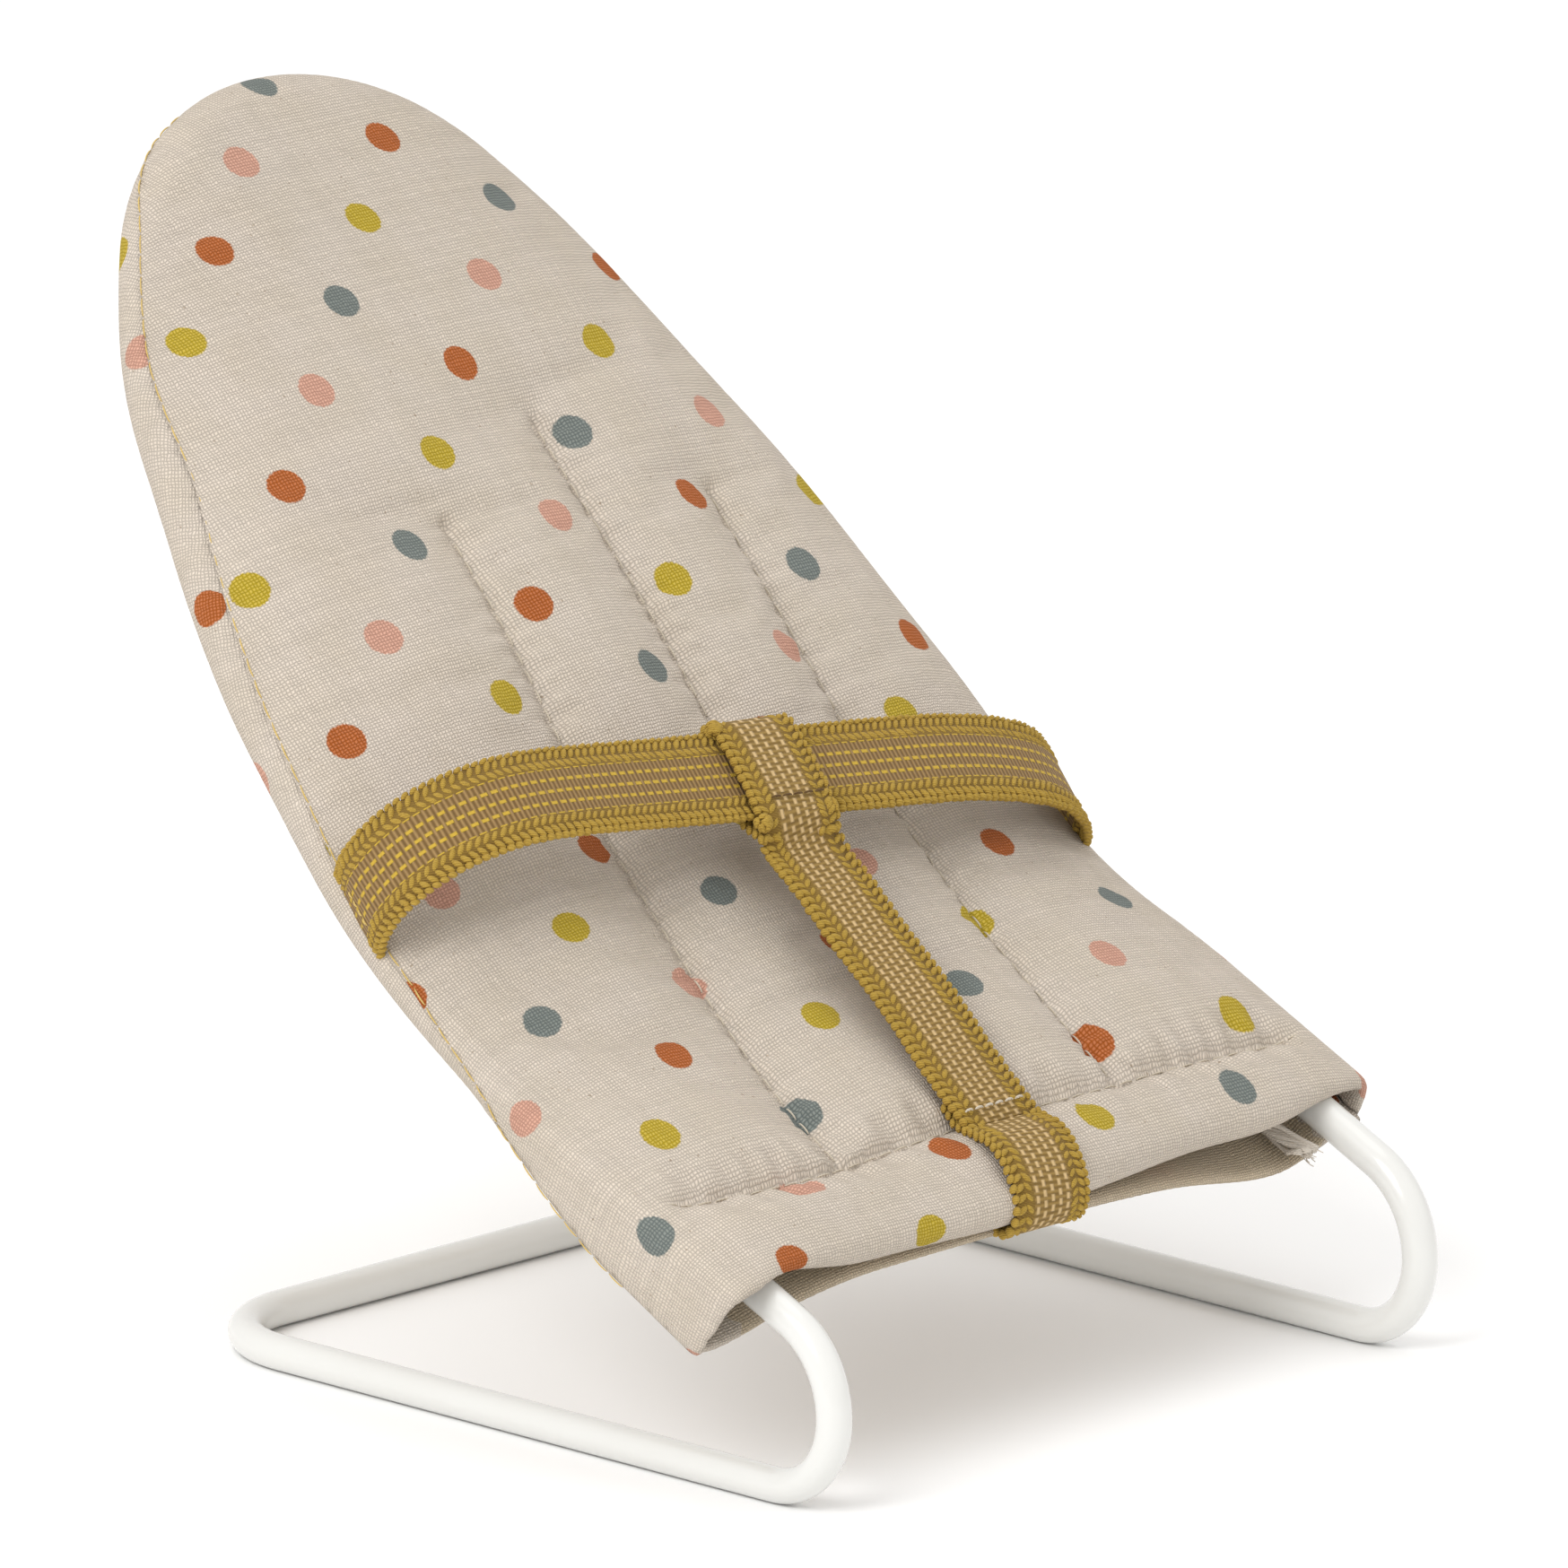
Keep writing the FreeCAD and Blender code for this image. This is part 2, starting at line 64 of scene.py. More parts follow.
runner_low, runner_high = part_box("floor_runner_left")
crossbar_low, crossbar_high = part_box("rear_crossbar")
WIRE = (runner_high.z - runner_low.z) / MM / 2
HALF = -(runner_low.x + runner_high.x) / MM / 2
FRONT_Y = runner_low.y / MM
REAR_Y = (crossbar_low.y + crossbar_high.y) / MM / 2
CORNER = HALF - crossbar_high.x / MM
LOWER_BEND, UPPER_BEND = 9.0, 11.0
SEAT, BACK = math.radians(24), math.radians(46)
HIP_START, HIP_RADIUS = 40.0, 100.0
HIP_END = HIP_START + HIP_RADIUS * (BACK - SEAT)
HEAD_RUN, HEAD_RADIUS = 164.5, 27.5
HEAD_CENTRE = HEAD_RUN - HEAD_RADIUS
NOSE_Y, NOSE_Z = FRONT_Y - LOWER_BEND, WIRE + LOWER_BEND
EXIT_Y = NOSE_Y + UPPER_BEND * (1 - math.sin(SEAT))
EXIT_Z = NOSE_Z + UPPER_BEND * math.cos(SEAT)

# The hoop's side arcs, tangent to the rails and to the head arc.
RISE, NARROWING = HEAD_CENTRE - HIP_END, HALF - HEAD_RADIUS
SPREAD = (RISE ** 2 + NARROWING ** 2) / (2 * NARROWING)
SIDE_RADIUS = HEAD_RADIUS + SPREAD
SIDE_CENTRE = HALF - SIDE_RADIUS
HEAD_TURN = math.acos(RISE / SPREAD)
SIDE_TURN = math.pi / 2 - HEAD_TURN


def seat_points(x, run, lift):
    """Points in millimetres, one row each, from the seat's coordinates."""
    x, run, lift = np.broadcast_arrays(np.asarray(x, float), np.asarray(run, float), lift)
    slope = SEAT + (np.clip(run, HIP_START, HIP_END) - HIP_START) / HIP_RADIUS
    front, back = np.minimum(run, HIP_START), np.maximum(run - HIP_END, 0)
    y = EXIT_Y + front * math.cos(SEAT) + back * math.cos(BACK)
    z = EXIT_Z + front * math.sin(SEAT) + back * math.sin(BACK)
    y = y + HIP_RADIUS * (np.sin(slope) - math.sin(SEAT)) - lift * np.sin(slope)
    z = z - HIP_RADIUS * (np.cos(slope) - math.cos(SEAT)) + lift * np.cos(slope)
    return np.column_stack([x, y, z])


def along(stations, at, blur=5.0):
    """A value that eases from station to station: each is (place, value)."""
    places, values = zip(*stations)
    shifts = np.linspace(-blur, blur, 9)
    return sum(np.interp(np.asarray(at) + shift, places, values) for shift in shifts) / len(shifts)


def ease(value):
    """0 below 0 and 1 above 1, with a smooth step between."""
    value = np.clip(value, 0, 1)
    return value * value * (3 - 2 * value)


def unit(rows):
    """Each row made one long."""
    return rows / np.linalg.norm(rows, axis=1)[:, None]


def travelled(line):
    """How far along its line each point lies."""
    return np.concatenate([[0], np.cumsum(np.linalg.norm(np.diff(line, axis=0), axis=1))])


def read_off(marks, places, rows):
    """The rows at these marks, interpolated between their places."""
    return np.column_stack([np.interp(marks, places, column) for column in rows.T])


def spaced(points, step):
    """A polyline divided again into equal steps of about that length."""
    points = np.asarray(points, float)
    travel = travelled(points)
    count = max(1, round(travel[-1] / step))
    return read_off(np.linspace(0, travel[-1], count + 1), travel, points)


def closest(points, others):
    """For each point: which of the others is nearest, and the distance squared."""
    index, apart = np.empty(len(points), int), np.empty(len(points))
    for start in range(0, len(points), AT_ONCE):
        part = slice(start, start + AT_ONCE)
        gaps = ((points[part, None] - others[None]) ** 2).sum(2)
        index[part], apart[part] = gaps.argmin(1), gaps.min(1)
    return index, apart


# ---------- meshes

def add_object(name, data):
    item = bpy.data.objects.new(name, data)
    bpy.context.scene.collection.objects.link(item)
    return item


def make_object(name, points, faces, materials, uv=None):
    """A mesh object from points in millimetres; uv holds one pair in millimetres a point."""
    mesh = bpy.data.meshes.new(name)
    mesh.from_pydata((np.asarray(points) * MM).tolist(), [], [list(map(int, f)) for f in faces])
    if uv is not None:
        layer = mesh.uv_layers.new(name="cloth")
        corner = np.zeros(len(mesh.loops), int)
        mesh.loops.foreach_get("vertex_index", corner)
        layer.data.foreach_set("uv", np.asarray(uv, np.float32)[corner].ravel())
    for material in materials:
        mesh.materials.append(material)
    mesh.polygons.foreach_set("use_smooth", [True] * len(mesh.polygons))
    mesh.update()
    return add_object(name, mesh)


def tube_rings(path, radius, sides, closed=False):
    """Rings of a round tube along a path: points and faces. radius may vary along it."""
    path = np.asarray(path, float)
    count = len(path)
    radius = np.broadcast_to(radius, count)
    if closed:
        heading = np.roll(path, -1, axis=0) - np.roll(path, 1, axis=0)
    else:
        heading = np.gradient(path, axis=0)
    heading = unit(heading)
    side = np.cross(heading[0], (0.3, 0.5, 0.8))
    side /= np.linalg.norm(side)
    sides_along = []
    for tangent in heading:
        side = side - tangent * side.dot(tangent)
        side /= np.linalg.norm(side)
        sides_along.append(side)
    sides_along = np.array(sides_along)
    ups = np.cross(heading, sides_along)
    twist = np.zeros(count)
    if closed:
        carried = sides_along[-1] - heading[0] * sides_along[-1].dot(heading[0])
        gap = math.atan2(carried.dot(ups[0]), carried.dot(sides_along[0]))
        twist = -gap * np.arange(count) / count
    turn = 2 * np.pi * np.arange(sides) / sides
    angle = turn[None, :] + twist[:, None]
    ring = (np.cos(angle)[..., None] * sides_along[:, None]
            + np.sin(angle)[..., None] * ups[:, None])
    points = (path[:, None] + ring * radius[:, None, None]).reshape(-1, 3)
    faces = []
    for row in range(count if closed else count - 1):
        here, there = row * sides, (row + 1) % count * sides
        for number in range(sides):
            after = (number + 1) % sides
            faces.append((here + number, here + after, there + after, there + number))
    if not closed:
        faces.append(tuple(range(sides))[::-1])
        faces.append(tuple(range((count - 1) * sides, count * sides)))
    return points, faces


def merge(parts):
    """Several (points, faces) as one."""
    points, faces, base = [], [], 0
    for part_points, part_faces in parts:
        points.append(part_points)
        faces += [tuple(base + index for index in face) for face in part_faces]
        base += len(part_points)
    return np.concatenate(points), faces


# A stitch's thickness and bow along it, and how far it rises and sinks in its own radii.
STITCH_SWELL = np.array([0.5, 0.9, 1.0, 1.0, 1.0, 0.9, 0.5])
STITCH_BOW = np.sin(np.linspace(0, np.pi, len(STITCH_SWELL))) ** 0.6
STITCH_RISE, STITCH_SINK = 1.4, 0.4


def stitch_row(line, outward, length, gap, radius):
    """Stitches end to end along a 3-D line, each dipping into the cloth at its ends."""
    line = spaced(line, 0.5)
    travel = travelled(line)
    parts = []
    at = gap
    while at + length < travel[-1]:
        path = read_off(np.linspace(at, at + length, len(STITCH_SWELL)), travel, line)
        lift = np.array([outward(point) for point in path])
        path = path + lift * (STITCH_BOW * STITCH_RISE * radius - STITCH_SINK * radius)[:, None]
        parts.append(tube_rings(path, radius * STITCH_SWELL, 6))
        at += length + gap
    return merge(parts)


# ---------- materials

class Finish:
    """A procedural material: its nodes are added and linked by short calls."""

    def __init__(self, name, **shader):
        self.material = bpy.data.materials.new(name)
        self.material.use_nodes = True
        self.nodes = self.material.node_tree.nodes
        self.links = self.material.node_tree.links
        self.shader = self.nodes["Principled BSDF"]
        for socket, value in shader.items():
            self.shader.inputs[socket.replace("_", " ")].default_value = value

    def add(self, kind, inputs=(), **settings):
        node = self.nodes.new("ShaderNode" + kind)
        for name, value in settings.items():
            setattr(node, name, value)
        for key, value in dict(inputs).items():
            if isinstance(value, bpy.types.NodeSocket):
                self.links.new(value, node.inputs[key])
            else:
                node.inputs[key].default_value = value
        return node

    def math(self, operation, first, second=0.0, third=0.0):
        node = self.add("Math", {0: first, 1: second, 2: third}, operation=operation)
        return node.outputs[0]

    def mix(self, factor, first, second):
        """A blend of two colours."""
        node = self.add("Mix", {0: factor, 6: first, 7: second}, data_type="RGBA")
        return node.outputs[2]

    def scale(self, colour, factor):
        """A colour made darker or lighter by a factor."""
        node = self.add("VectorMath", {0: colour, "Scale": factor}, operation="SCALE")
        return node.outputs[0]

    def noise(self, vector, size, detail=2.0):
        return self.add("TexNoise", {"Vector": vector, "Scale": size, "Detail": detail}).outputs[0]

    def times(self, first, second):
        return self.math("MULTIPLY", first, second)

    def plus(self, first, second):
        return self.math("ADD", first, second)

    def scaled(self, value, factor, offset):
        """A value times a factor, plus an offset."""
        return self.math("MULTIPLY_ADD", value, factor, offset)

    def rise(self, value, low, high):
        """0 at low and 1 at high, held beyond both."""
        return self.add("MapRange", {0: value, 1: low, 2: high}).outputs[0]

    def uv(self):
        """The cloth's own flat coordinates in millimetres: vector, across and along."""
        vector = self.add("UVMap", uv_map="cloth").outputs[0]
        split = self.add("SeparateXYZ", {0: vector})
        return vector, split.outputs[0], split.outputs[1]

    def finish(self, colour, height=None, bump=0.0):
        """The finished material; bump is the height's depth in millimetres."""
        self.links.new(colour, self.shader.inputs["Base Color"])
        if height is not None:
            inputs = {"Height": height, "Strength": 1.0, "Distance": bump * MM}
            node = self.add("Bump", inputs)
            self.links.new(node.outputs[0], self.shader.inputs["Normal"])
        return self.material


THREAD_PITCH = 0.40
DOT_RADIUS, DOT_EDGE = 2.2, 0.09
DOT_ORIGIN = (13.0, 119.0)
DOT_STEP_A, DOT_STEP_B = (-10.9, -9.9), (10.4, -11.0)
DOT_COLOURS = [(0.165, 0.195, 0.185), (0.60, 0.32, 0.235), (0.42, 0.10, 0.010),
               (0.48, 0.35, 0.014)]
CANVAS_COLOUR = (0.63, 0.555, 0.475, 1)
# the unprinted reverse of the cloth, made darker and more golden as painted shade inside the cover
RAW_CLOTH_AND_SHADE_COLOUR = (0.60, 0.50, 0.37, 1)
FLECK_COLOUR = (0.30, 0.22, 0.14, 1)


def plain_weave(finish, across, along_cloth, vector):
    """The weave's height from 0 to 1 and a brightness factor: painted shade that darkens the
    hollows between threads and lightens their tops, times a tone that varies from thread to thread.
    """
    wander = finish.times(finish.noise(vector, 0.9), 0.5)
    threads = [finish.math("DIVIDE", finish.plus(place, wander), THREAD_PITCH)
               for place in (across, along_cloth)]
    swells = [finish.math("ABSOLUTE", finish.math("SINE", finish.times(thread, math.pi)))
              for thread in threads]
    numbers = [finish.math("FLOOR", thread) for thread in threads]
    over = finish.math("PINGPONG", finish.plus(*numbers), 1.0)
    tops = [finish.times(finish.times(swell, shown), finish.math("POWER", other, 0.5))
            for swell, other, shown in ((swells[0], swells[1], over),
                                        (swells[1], swells[0], finish.math("SUBTRACT", 1.0, over)))]
    height = finish.math("MAXIMUM", *tops)
    streaks = [finish.add("TexWhiteNoise", {"W": number}, noise_dimensions="1D").outputs[0]
               for number in numbers]
    streak = finish.scaled(finish.times(finish.plus(*streaks), 0.5), 0.11, 0.945)
    # painted shade and highlight: the colour factor follows the weave's height, darker in its
    # hollows and lighter on its tops
    return height, finish.times(finish.scaled(height, 0.42, 0.70), streak)


def print_dots(finish, colour, height, uv):
    """The cloth's colour with the dots printed on it, a little thinner on the weave's tops."""
    vector, *places = uv
    (ax, ay), (bx, by) = DOT_STEP_A, DOT_STEP_B
    area = ax * by - ay * bx
    rough = finish.times(finish.math("SUBTRACT", finish.noise(vector, 3.0), 0.5), 0.5)
    px, py = [finish.math("SUBTRACT", place, origin) for place, origin in zip(places, DOT_ORIGIN)]
    first, second = [finish.math("ROUND", finish.scaled(px, kx, finish.times(py, ky)))
                     for kx, ky in ((by / area, -bx / area), (-ay / area, ax / area))]
    squares = []
    for value, a, b in ((px, ax, bx), (py, ay, by)):
        gap = finish.math("SUBTRACT", value, finish.scaled(first, a, finish.times(second, b)))
        squares.append(finish.times(gap, gap))
    away = finish.plus(finish.math("SQRT", finish.plus(*squares)), rough)
    inside = finish.rise(away, DOT_RADIUS + DOT_EDGE, DOT_RADIUS - DOT_EDGE)
    kinds = len(DOT_COLOURS)
    number = finish.plus(finish.scaled(second, 2.0, first), 0.5)
    number = finish.math("FLOORED_MODULO", number, kinds)
    ramp = finish.add("ValToRGB", {0: finish.math("DIVIDE", number, kinds)})
    ramp.color_ramp.interpolation = "CONSTANT"
    stops = ramp.color_ramp.elements
    for index, dot in enumerate(DOT_COLOURS):
        stop = stops[index] if index < 2 else stops.new(index / kinds)
        stop.position = index / kinds
        stop.color = dot + (1,)
    shown = finish.times(inside, finish.scaled(height, -0.12, 1.0))
    return finish.mix(shown, colour, ramp.outputs[0])


def make_canvas(name, printed):
    """Unbleached plain-weave cotton, with the printed dots, or unprinted in a darker, more golden
    colour that is partly the cloth's reverse and partly painted shade.
    """
    finish = Finish(name, Roughness=0.95, Specular_IOR_Level=0.08, Sheen_Weight=0.03,
                    Sheen_Roughness=0.6)
    vector, across, along_cloth = finish.uv()
    height, light = plain_weave(finish, across, along_cloth, vector)
    warm = finish.rise(finish.noise(vector, 0.12, 3.0), 0.35, 0.65)
    base = CANVAS_COLOUR if printed else RAW_CLOTH_AND_SHADE_COLOUR
    deeper = tuple(part * factor for part, factor in zip(base, (0.97, 0.965, 0.94))) + (1,)
    colour = finish.mix(warm, base, deeper)
    fleck = finish.rise(finish.noise(vector, 1.5, 1.0), 0.73, 0.78)
    colour = finish.mix(finish.times(fleck, 0.55), colour, FLECK_COLOUR)
    if printed:
        colour = print_dots(finish, colour, height, (vector, across, along_cloth))
    # the colour is scaled by the weave's painted shade and highlight
    return finish.finish(finish.scale(colour, light), height, bump=0.11)


def make_wire_paint():
    """Glossy warm-white enamel with a faint orange peel."""
    finish = Finish("coated_wire", Roughness=0.22, Coat_Weight=0.5, Coat_Roughness=0.08)
    place = finish.add("TexCoord").outputs["Object"]
    tint = finish.noise(place, 60.0, 2.0)
    colour = finish.mix(tint, (0.74, 0.74, 0.715, 1), (0.70, 0.695, 0.665, 1))
    peel = finish.noise(place, 900.0, 1.0)
    return finish.finish(colour, peel, bump=0.02)


def make_thread(name, light, dark, twist=0.45):
    """Twisted thread or yarn: a slanting ply pattern over a mottled colour."""
    finish = Finish(name, Roughness=0.8, Specular_IOR_Level=0.2, Sheen_Weight=0.04)
    place = finish.add("TexCoord").outputs["Object"]
    shift = finish.add("VectorMath", {0: place, "Scale": 1 / MM}, operation="SCALE").outputs[0]
    split = finish.add("SeparateXYZ", {0: shift})
    slant = finish.plus(finish.plus(split.outputs[0], split.outputs[1]),
                        finish.times(split.outputs[2], 1.7))
    ply = finish.math("SINE", finish.times(slant, 2 * math.pi / twist))
    ply = finish.scaled(ply, 0.5, 0.5)
    mottle = finish.noise(shift, 1.4, 3.0)
    factor = finish.scaled(ply, 0.45, finish.times(mottle, 0.6))
    return finish.finish(finish.mix(factor, dark, light), ply, bump=0.06)


RIB_PITCH = 0.62


def make_elastic(name, ground, rib, dash, dash_length, row_width, staggered):
    """Woven elastic: fine ribs across it and rows of raised dashes along it."""
    finish = Finish(name, Roughness=0.75, Specular_IOR_Level=0.2, Sheen_Weight=0.04)
    vector, across, length = finish.uv()
    wave = finish.math("SINE", finish.times(length, 2 * math.pi / RIB_PITCH))
    wave = finish.scaled(wave, 0.5, 0.5)
    row = finish.plus(finish.math("DIVIDE", across, row_width), 100.5)
    column = finish.math("FLOOR", row)
    away = finish.math("ABSOLUTE", finish.math("SUBTRACT", finish.math("FRACT", row), 0.5))
    in_row = finish.rise(away, 0.30 if staggered else 0.20, 0.12)
    stagger = finish.times(finish.math("PINGPONG", column, 1.0),
                          dash_length * (0.5 if staggered else 0.25))
    step = finish.math("DIVIDE", finish.plus(length, stagger), dash_length)
    spread = finish.math("ABSOLUTE", finish.math("SUBTRACT", finish.math("FRACT", step), 0.5))
    in_dash = finish.rise(spread, 0.40, 0.30)
    shown = finish.times(in_row, in_dash)
    mottle = finish.noise(vector, 2.0, 2.0)
    colour = finish.mix(wave, ground, rib)
    colour = finish.mix(shown, colour, dash)
    colour = finish.scale(colour, finish.scaled(mottle, 0.35, 0.82))
    height = finish.math("MAXIMUM", finish.times(wave, 0.6), shown)
    return finish.finish(colour, height, bump=0.16)


PRINTED = make_canvas("dotted_canvas", True)
UNPRINTED_AND_SHADE = make_canvas("raw_canvas", False)
ENAMEL = make_wire_paint()
GOLD_THREAD = make_thread("gold_thread", (0.74, 0.55, 0.20, 1), (0.62, 0.44, 0.14, 1))
CREAM_THREAD = make_thread("cream_thread", (0.70, 0.63, 0.52, 1), (0.55, 0.48, 0.37, 1))
DARK_THREAD = make_thread("dark_thread", (0.16, 0.09, 0.03, 1), (0.09, 0.05, 0.02, 1))
FRAY_THREAD = make_thread("fray_thread", (0.78, 0.72, 0.64, 1), (0.62, 0.55, 0.46, 1))
BRAID = make_thread("braid_yarn", (0.52, 0.345, 0.062, 1), (0.30, 0.185, 0.03, 1), 0.5)
# painted shade: a dark brown sheet under the braid stands in for the shade in the gaps between its
# beads
BRAID_GAP_SHADE = make_thread("braid_gap_shade", (0.27, 0.165, 0.032, 1), (0.16, 0.095, 0.02, 1), 0.6)
BELT_WEB = make_elastic("belt_elastic", (0.15, 0.085, 0.026, 1), (0.31, 0.195, 0.078, 1),
                        (0.50, 0.33, 0.04, 1), 1.3, 1.45, False)
STRAP_WEB = make_elastic("strap_elastic", (0.19, 0.115, 0.03, 1), (0.30, 0.19, 0.055, 1),
                         (0.58, 0.41, 0.20, 1), 1.05, 1.16, True)
GROUND = Finish("pale_floor", Roughness=0.8)
GROUND_TINT = GROUND.noise(GROUND.add("TexCoord").outputs["Object"], 4.0)
FLOOR_PAINT = GROUND.finish(GROUND.mix(GROUND_TINT, (0.97, 0.97, 0.965, 1),
                                       (0.955, 0.955, 0.955, 1)))


# ---------- the wire

def arc(centre, radius, start, end, step=1.0):
    """Points of an arc in a plane, angles in radians."""
    count = max(2, round(abs(end - start) * radius / step)) + 1
    turn = np.linspace(start, end, count)
    return np.column_stack([centre[0] + radius * np.cos(turn), centre[1] + radius * np.sin(turn)])


def hoop_line(first_run):
    """The hoop's centre line from the left front over the head to the right front, as rows
    of x, run and the outward normal's two parts."""
    head = arc((0, HEAD_CENTRE), HEAD_RADIUS, math.pi / 2 + HEAD_TURN, math.pi / 2, 0.5)
    side = arc((-SIDE_CENTRE, HIP_END), SIDE_RADIUS, math.pi, math.pi - SIDE_TURN, 0.5)
    rail = spaced([(-HALF, first_run), (-HALF, HIP_END)], 0.5)
    rows = []
    for line, centre in ((rail, None), (side, (-SIDE_CENTRE, HIP_END)), (head, (0, HEAD_CENTRE))):
        normal = np.tile([-1.0, 0.0], (len(line), 1)) if centre is None else line - centre
        rows.append(np.column_stack([line, unit(normal)])[:-1])
    left = np.concatenate(rows)
    top = np.array([[0.0, HEAD_RUN, 0.0, 1.0]])
    right = left[::-1] * [-1, 1, -1, 1]
    return np.concatenate([left, top, right])


def make_wire():
    """The whole frame: one wire bent into a closed loop, blended over its springy bends."""
    half_bar = spaced([(0, REAR_Y), (-HALF + CORNER, REAR_Y)], 2.0)
    corner = arc((-HALF + CORNER, REAR_Y - CORNER), CORNER, math.pi / 2, math.pi)
    runner = spaced([(-HALF, REAR_Y - CORNER), (-HALF, FRONT_Y)], 2.0)
    flat = np.concatenate([half_bar[:-1], corner[:-1], runner[:-1]])
    floor = np.column_stack([flat, np.full(len(flat), WIRE)])
    lower = arc((FRONT_Y, NOSE_Z), LOWER_BEND, -math.pi / 2, -math.pi, 0.6)
    upper = arc((NOSE_Y + UPPER_BEND, NOSE_Z), UPPER_BEND, math.pi, math.pi / 2 + SEAT, 0.6)
    bends = np.concatenate([lower[:-1], upper[:-1]])
    bends = np.column_stack([np.full(len(bends), -HALF), bends])
    hoop = hoop_line(0)
    hoop = seat_points(hoop[:, 0], hoop[:, 1], 0)
    left = np.concatenate([floor, bends])
    loop = np.concatenate([left, hoop, (left * [-1, 1, 1])[:0:-1]])
    points, faces = tube_rings(loop, WIRE, 28, closed=True)
    wire = make_object("wire_frame", points, faces, [ENAMEL])
    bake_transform(wire)
    nodes = [name for name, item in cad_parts.items()
             if name.startswith(("rear_", "floor_runner", "front_bend", "side_rail", "head_hoop"))]
    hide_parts(*nodes)


# ---------- the cover's shape

ROLL = 3.0                    # radius of the padded rim
SHARP = 0.9                   # radius of the drooping corner's fold
QUARTER = ROLL * math.pi / 2
BACK_LEVEL = -3.3             # lift of the taut back panel
BACK_TURN = [(132, 13.0), (150, 4.0), (160, 3.2)]     # how far in from the rim it gets there
RIM_OFFSET = [(38, 4.3), (50, 2.5), (74, 2.3), (90, 0.8), (124, 0.9), (140, 3.0), (170, 3.3)]
RIM_LIFT = [(0, 0.6), (78, 0.4), (98, -0.6), (138, -0.4), (150, 0.8), (168, 3.0)]
DROP_LEFT = [(0, 7.6), (10, 6.9), (22, 6.0), (30, 4.4), (38, 2.0), (46, 0.0)]
DROP_RIGHT = [(0, 3.0), (15, 2.2), (32, 0.0)]
SEAM_REACH = [(42, 5.9), (60, 3.2), (90, 2.1), (126, 0.3), (140, 2.0), (156, 2.6), (166, 6.0)]
FAR_SEAM = 5.8                # how far the right-hand side seam lies round the rim
FACE_LEVEL = [(0, 5.0), (30, 5.3), (100, 5.4), (125, 5.5), (145, 5.2), (166, 5.2)]
FACE_BRIDGE = [(12, 0), (32, 1.7), (45, 2.9), (58, 3.6), (72, 3.6), (86, 3.4), (100, 2.8),
               (116, 1.5), (134, 0)]
HEM_LINE = [(-62, 19.6), (-47, 18.4), (-38, 17.2), (-26, 17.0), (-12, 17.8), (20, 17.7), (60, 18.8)]
# Places where the padding is fuller or thinner: x, run, width and height.
LUMPS = [(-13.0, 163.0, 12.0, 1.2), (-24.0, 30.0, 17.0, -1.7), (-8.0, 96.0, 16.0, 0.8)]
FRONT_EDGE = [(-62, 4.9), (-51, 2.0), (-44, 3.9), (-8, 3.6), (7, 5.5), (24, 6.9), (38, 7.4),
              (47, 8.8), (60, 9.4)]
FOLD_RADIUS = [(-52, 0.6), (-43, 1.0), (-32, 2.3), (34, 2.5), (46, 1.3), (54, 0.7)]
SHARP_FOLD = 0.6              # the back panel's fold at the front edge
BACK_FOLD = [(-53, 5.9), (-40, 5.2), (0, 5.8), (35, 7.2), (54, 9.3)]
BACK_FRONT = [(-52, -5.5), (-44, -4.4), (-32, -1.9), (5, -1.4), (22, -2.9), (38, -6.0), (50, -6.8)]
PANEL_LOW = -8.0              # where the flat patterns end, turned in past the front edge
# The quilting lines: name, x at the hem, x at the upper end and the upper end's run.
QUILT_SEAMS = [("left", -22.8, -11.4, 112.0), ("centre", 2.5, 10.0, 122.0),
               ("right", 19.8, 28.6, 108.5)]
# How far the print is drawn, and the runs that this builds up over: down over the hem, and
# across and down over the full head.
HEM_PULL, HEM_PULL_FROM, HEM_PULL_OVER = 2.5, 30, 22
HEAD_PULL, HEAD_PULL_FROM, HEAD_PULL_OVER = (4.5, 3.0), 135, 35
SPACING = 1.5                 # of the flat patterns' points
CLEARANCE = 0.62              # loose points keep this share of it from the sewn lines
# The padding: how far in from the rim it fills out, where its bridge starts and how wide that
# is, the grooves at the quilting and the hem (depth and width), and the rolled hem's fullness.
CROWN_WIDTH = 6.0
BRIDGE_START, BRIDGE_WIDTH = 4.0, 24.0
QUILT_DIP, HEM_DIP, HEM_ROLL = (1.7, 2.4), (1.5, 1.8), 0.7
# The cloth's fine relief. Puckers and gathers: height, distance from their seam and width.
PUCKER, GATHER = (0.20, 1.8, 1.5), (0.32, 2.6, 2.2)
STITCH_DEPTH, STITCH_WIDTH = 0.8, 0.7
SLACK = 0.12
RIM_FADE = 4.0                # the relief dies out this near to the rim
HEM_STITCHED = 50             # the hem is stitched this far from the middle


class Rim:
    """The rim's centre line, and what it is nearest to."""

    def __init__(self):
        hoop = hoop_line(-14.0)
        offset = along(RIM_OFFSET, hoop[:, 1])
        self.normal = hoop[:, 2:]
        self.line = hoop[:, :2] + self.normal * offset[:, None]
        run, left = self.line[:, 1], self.line[:, 0] < 0
        self.drop = np.where(left, along(DROP_LEFT, run, 2.0), along(DROP_RIGHT, run, 2.0))
        self.turn = np.where(self.drop > 0, ROLL + (SHARP - ROLL) * ease(self.drop / 2.0), ROLL)
        far = ease(self.line[:, 0] / 20 + 0.5)
        self.seam = along(SEAM_REACH, run, 2.0) * (1 - far) + FAR_SEAM * far + self.drop
        self.under = QUARTER + self.drop + self.turn * math.pi / 2

    def nearest(self, points):
        """For flat points: the index of the rim's nearest place, and how far outside it."""
        index, _ = closest(points, self.line)
        outside = ((points - self.line[index]) * self.normal[index]).sum(1)
        return index, outside


RIM = Rim()


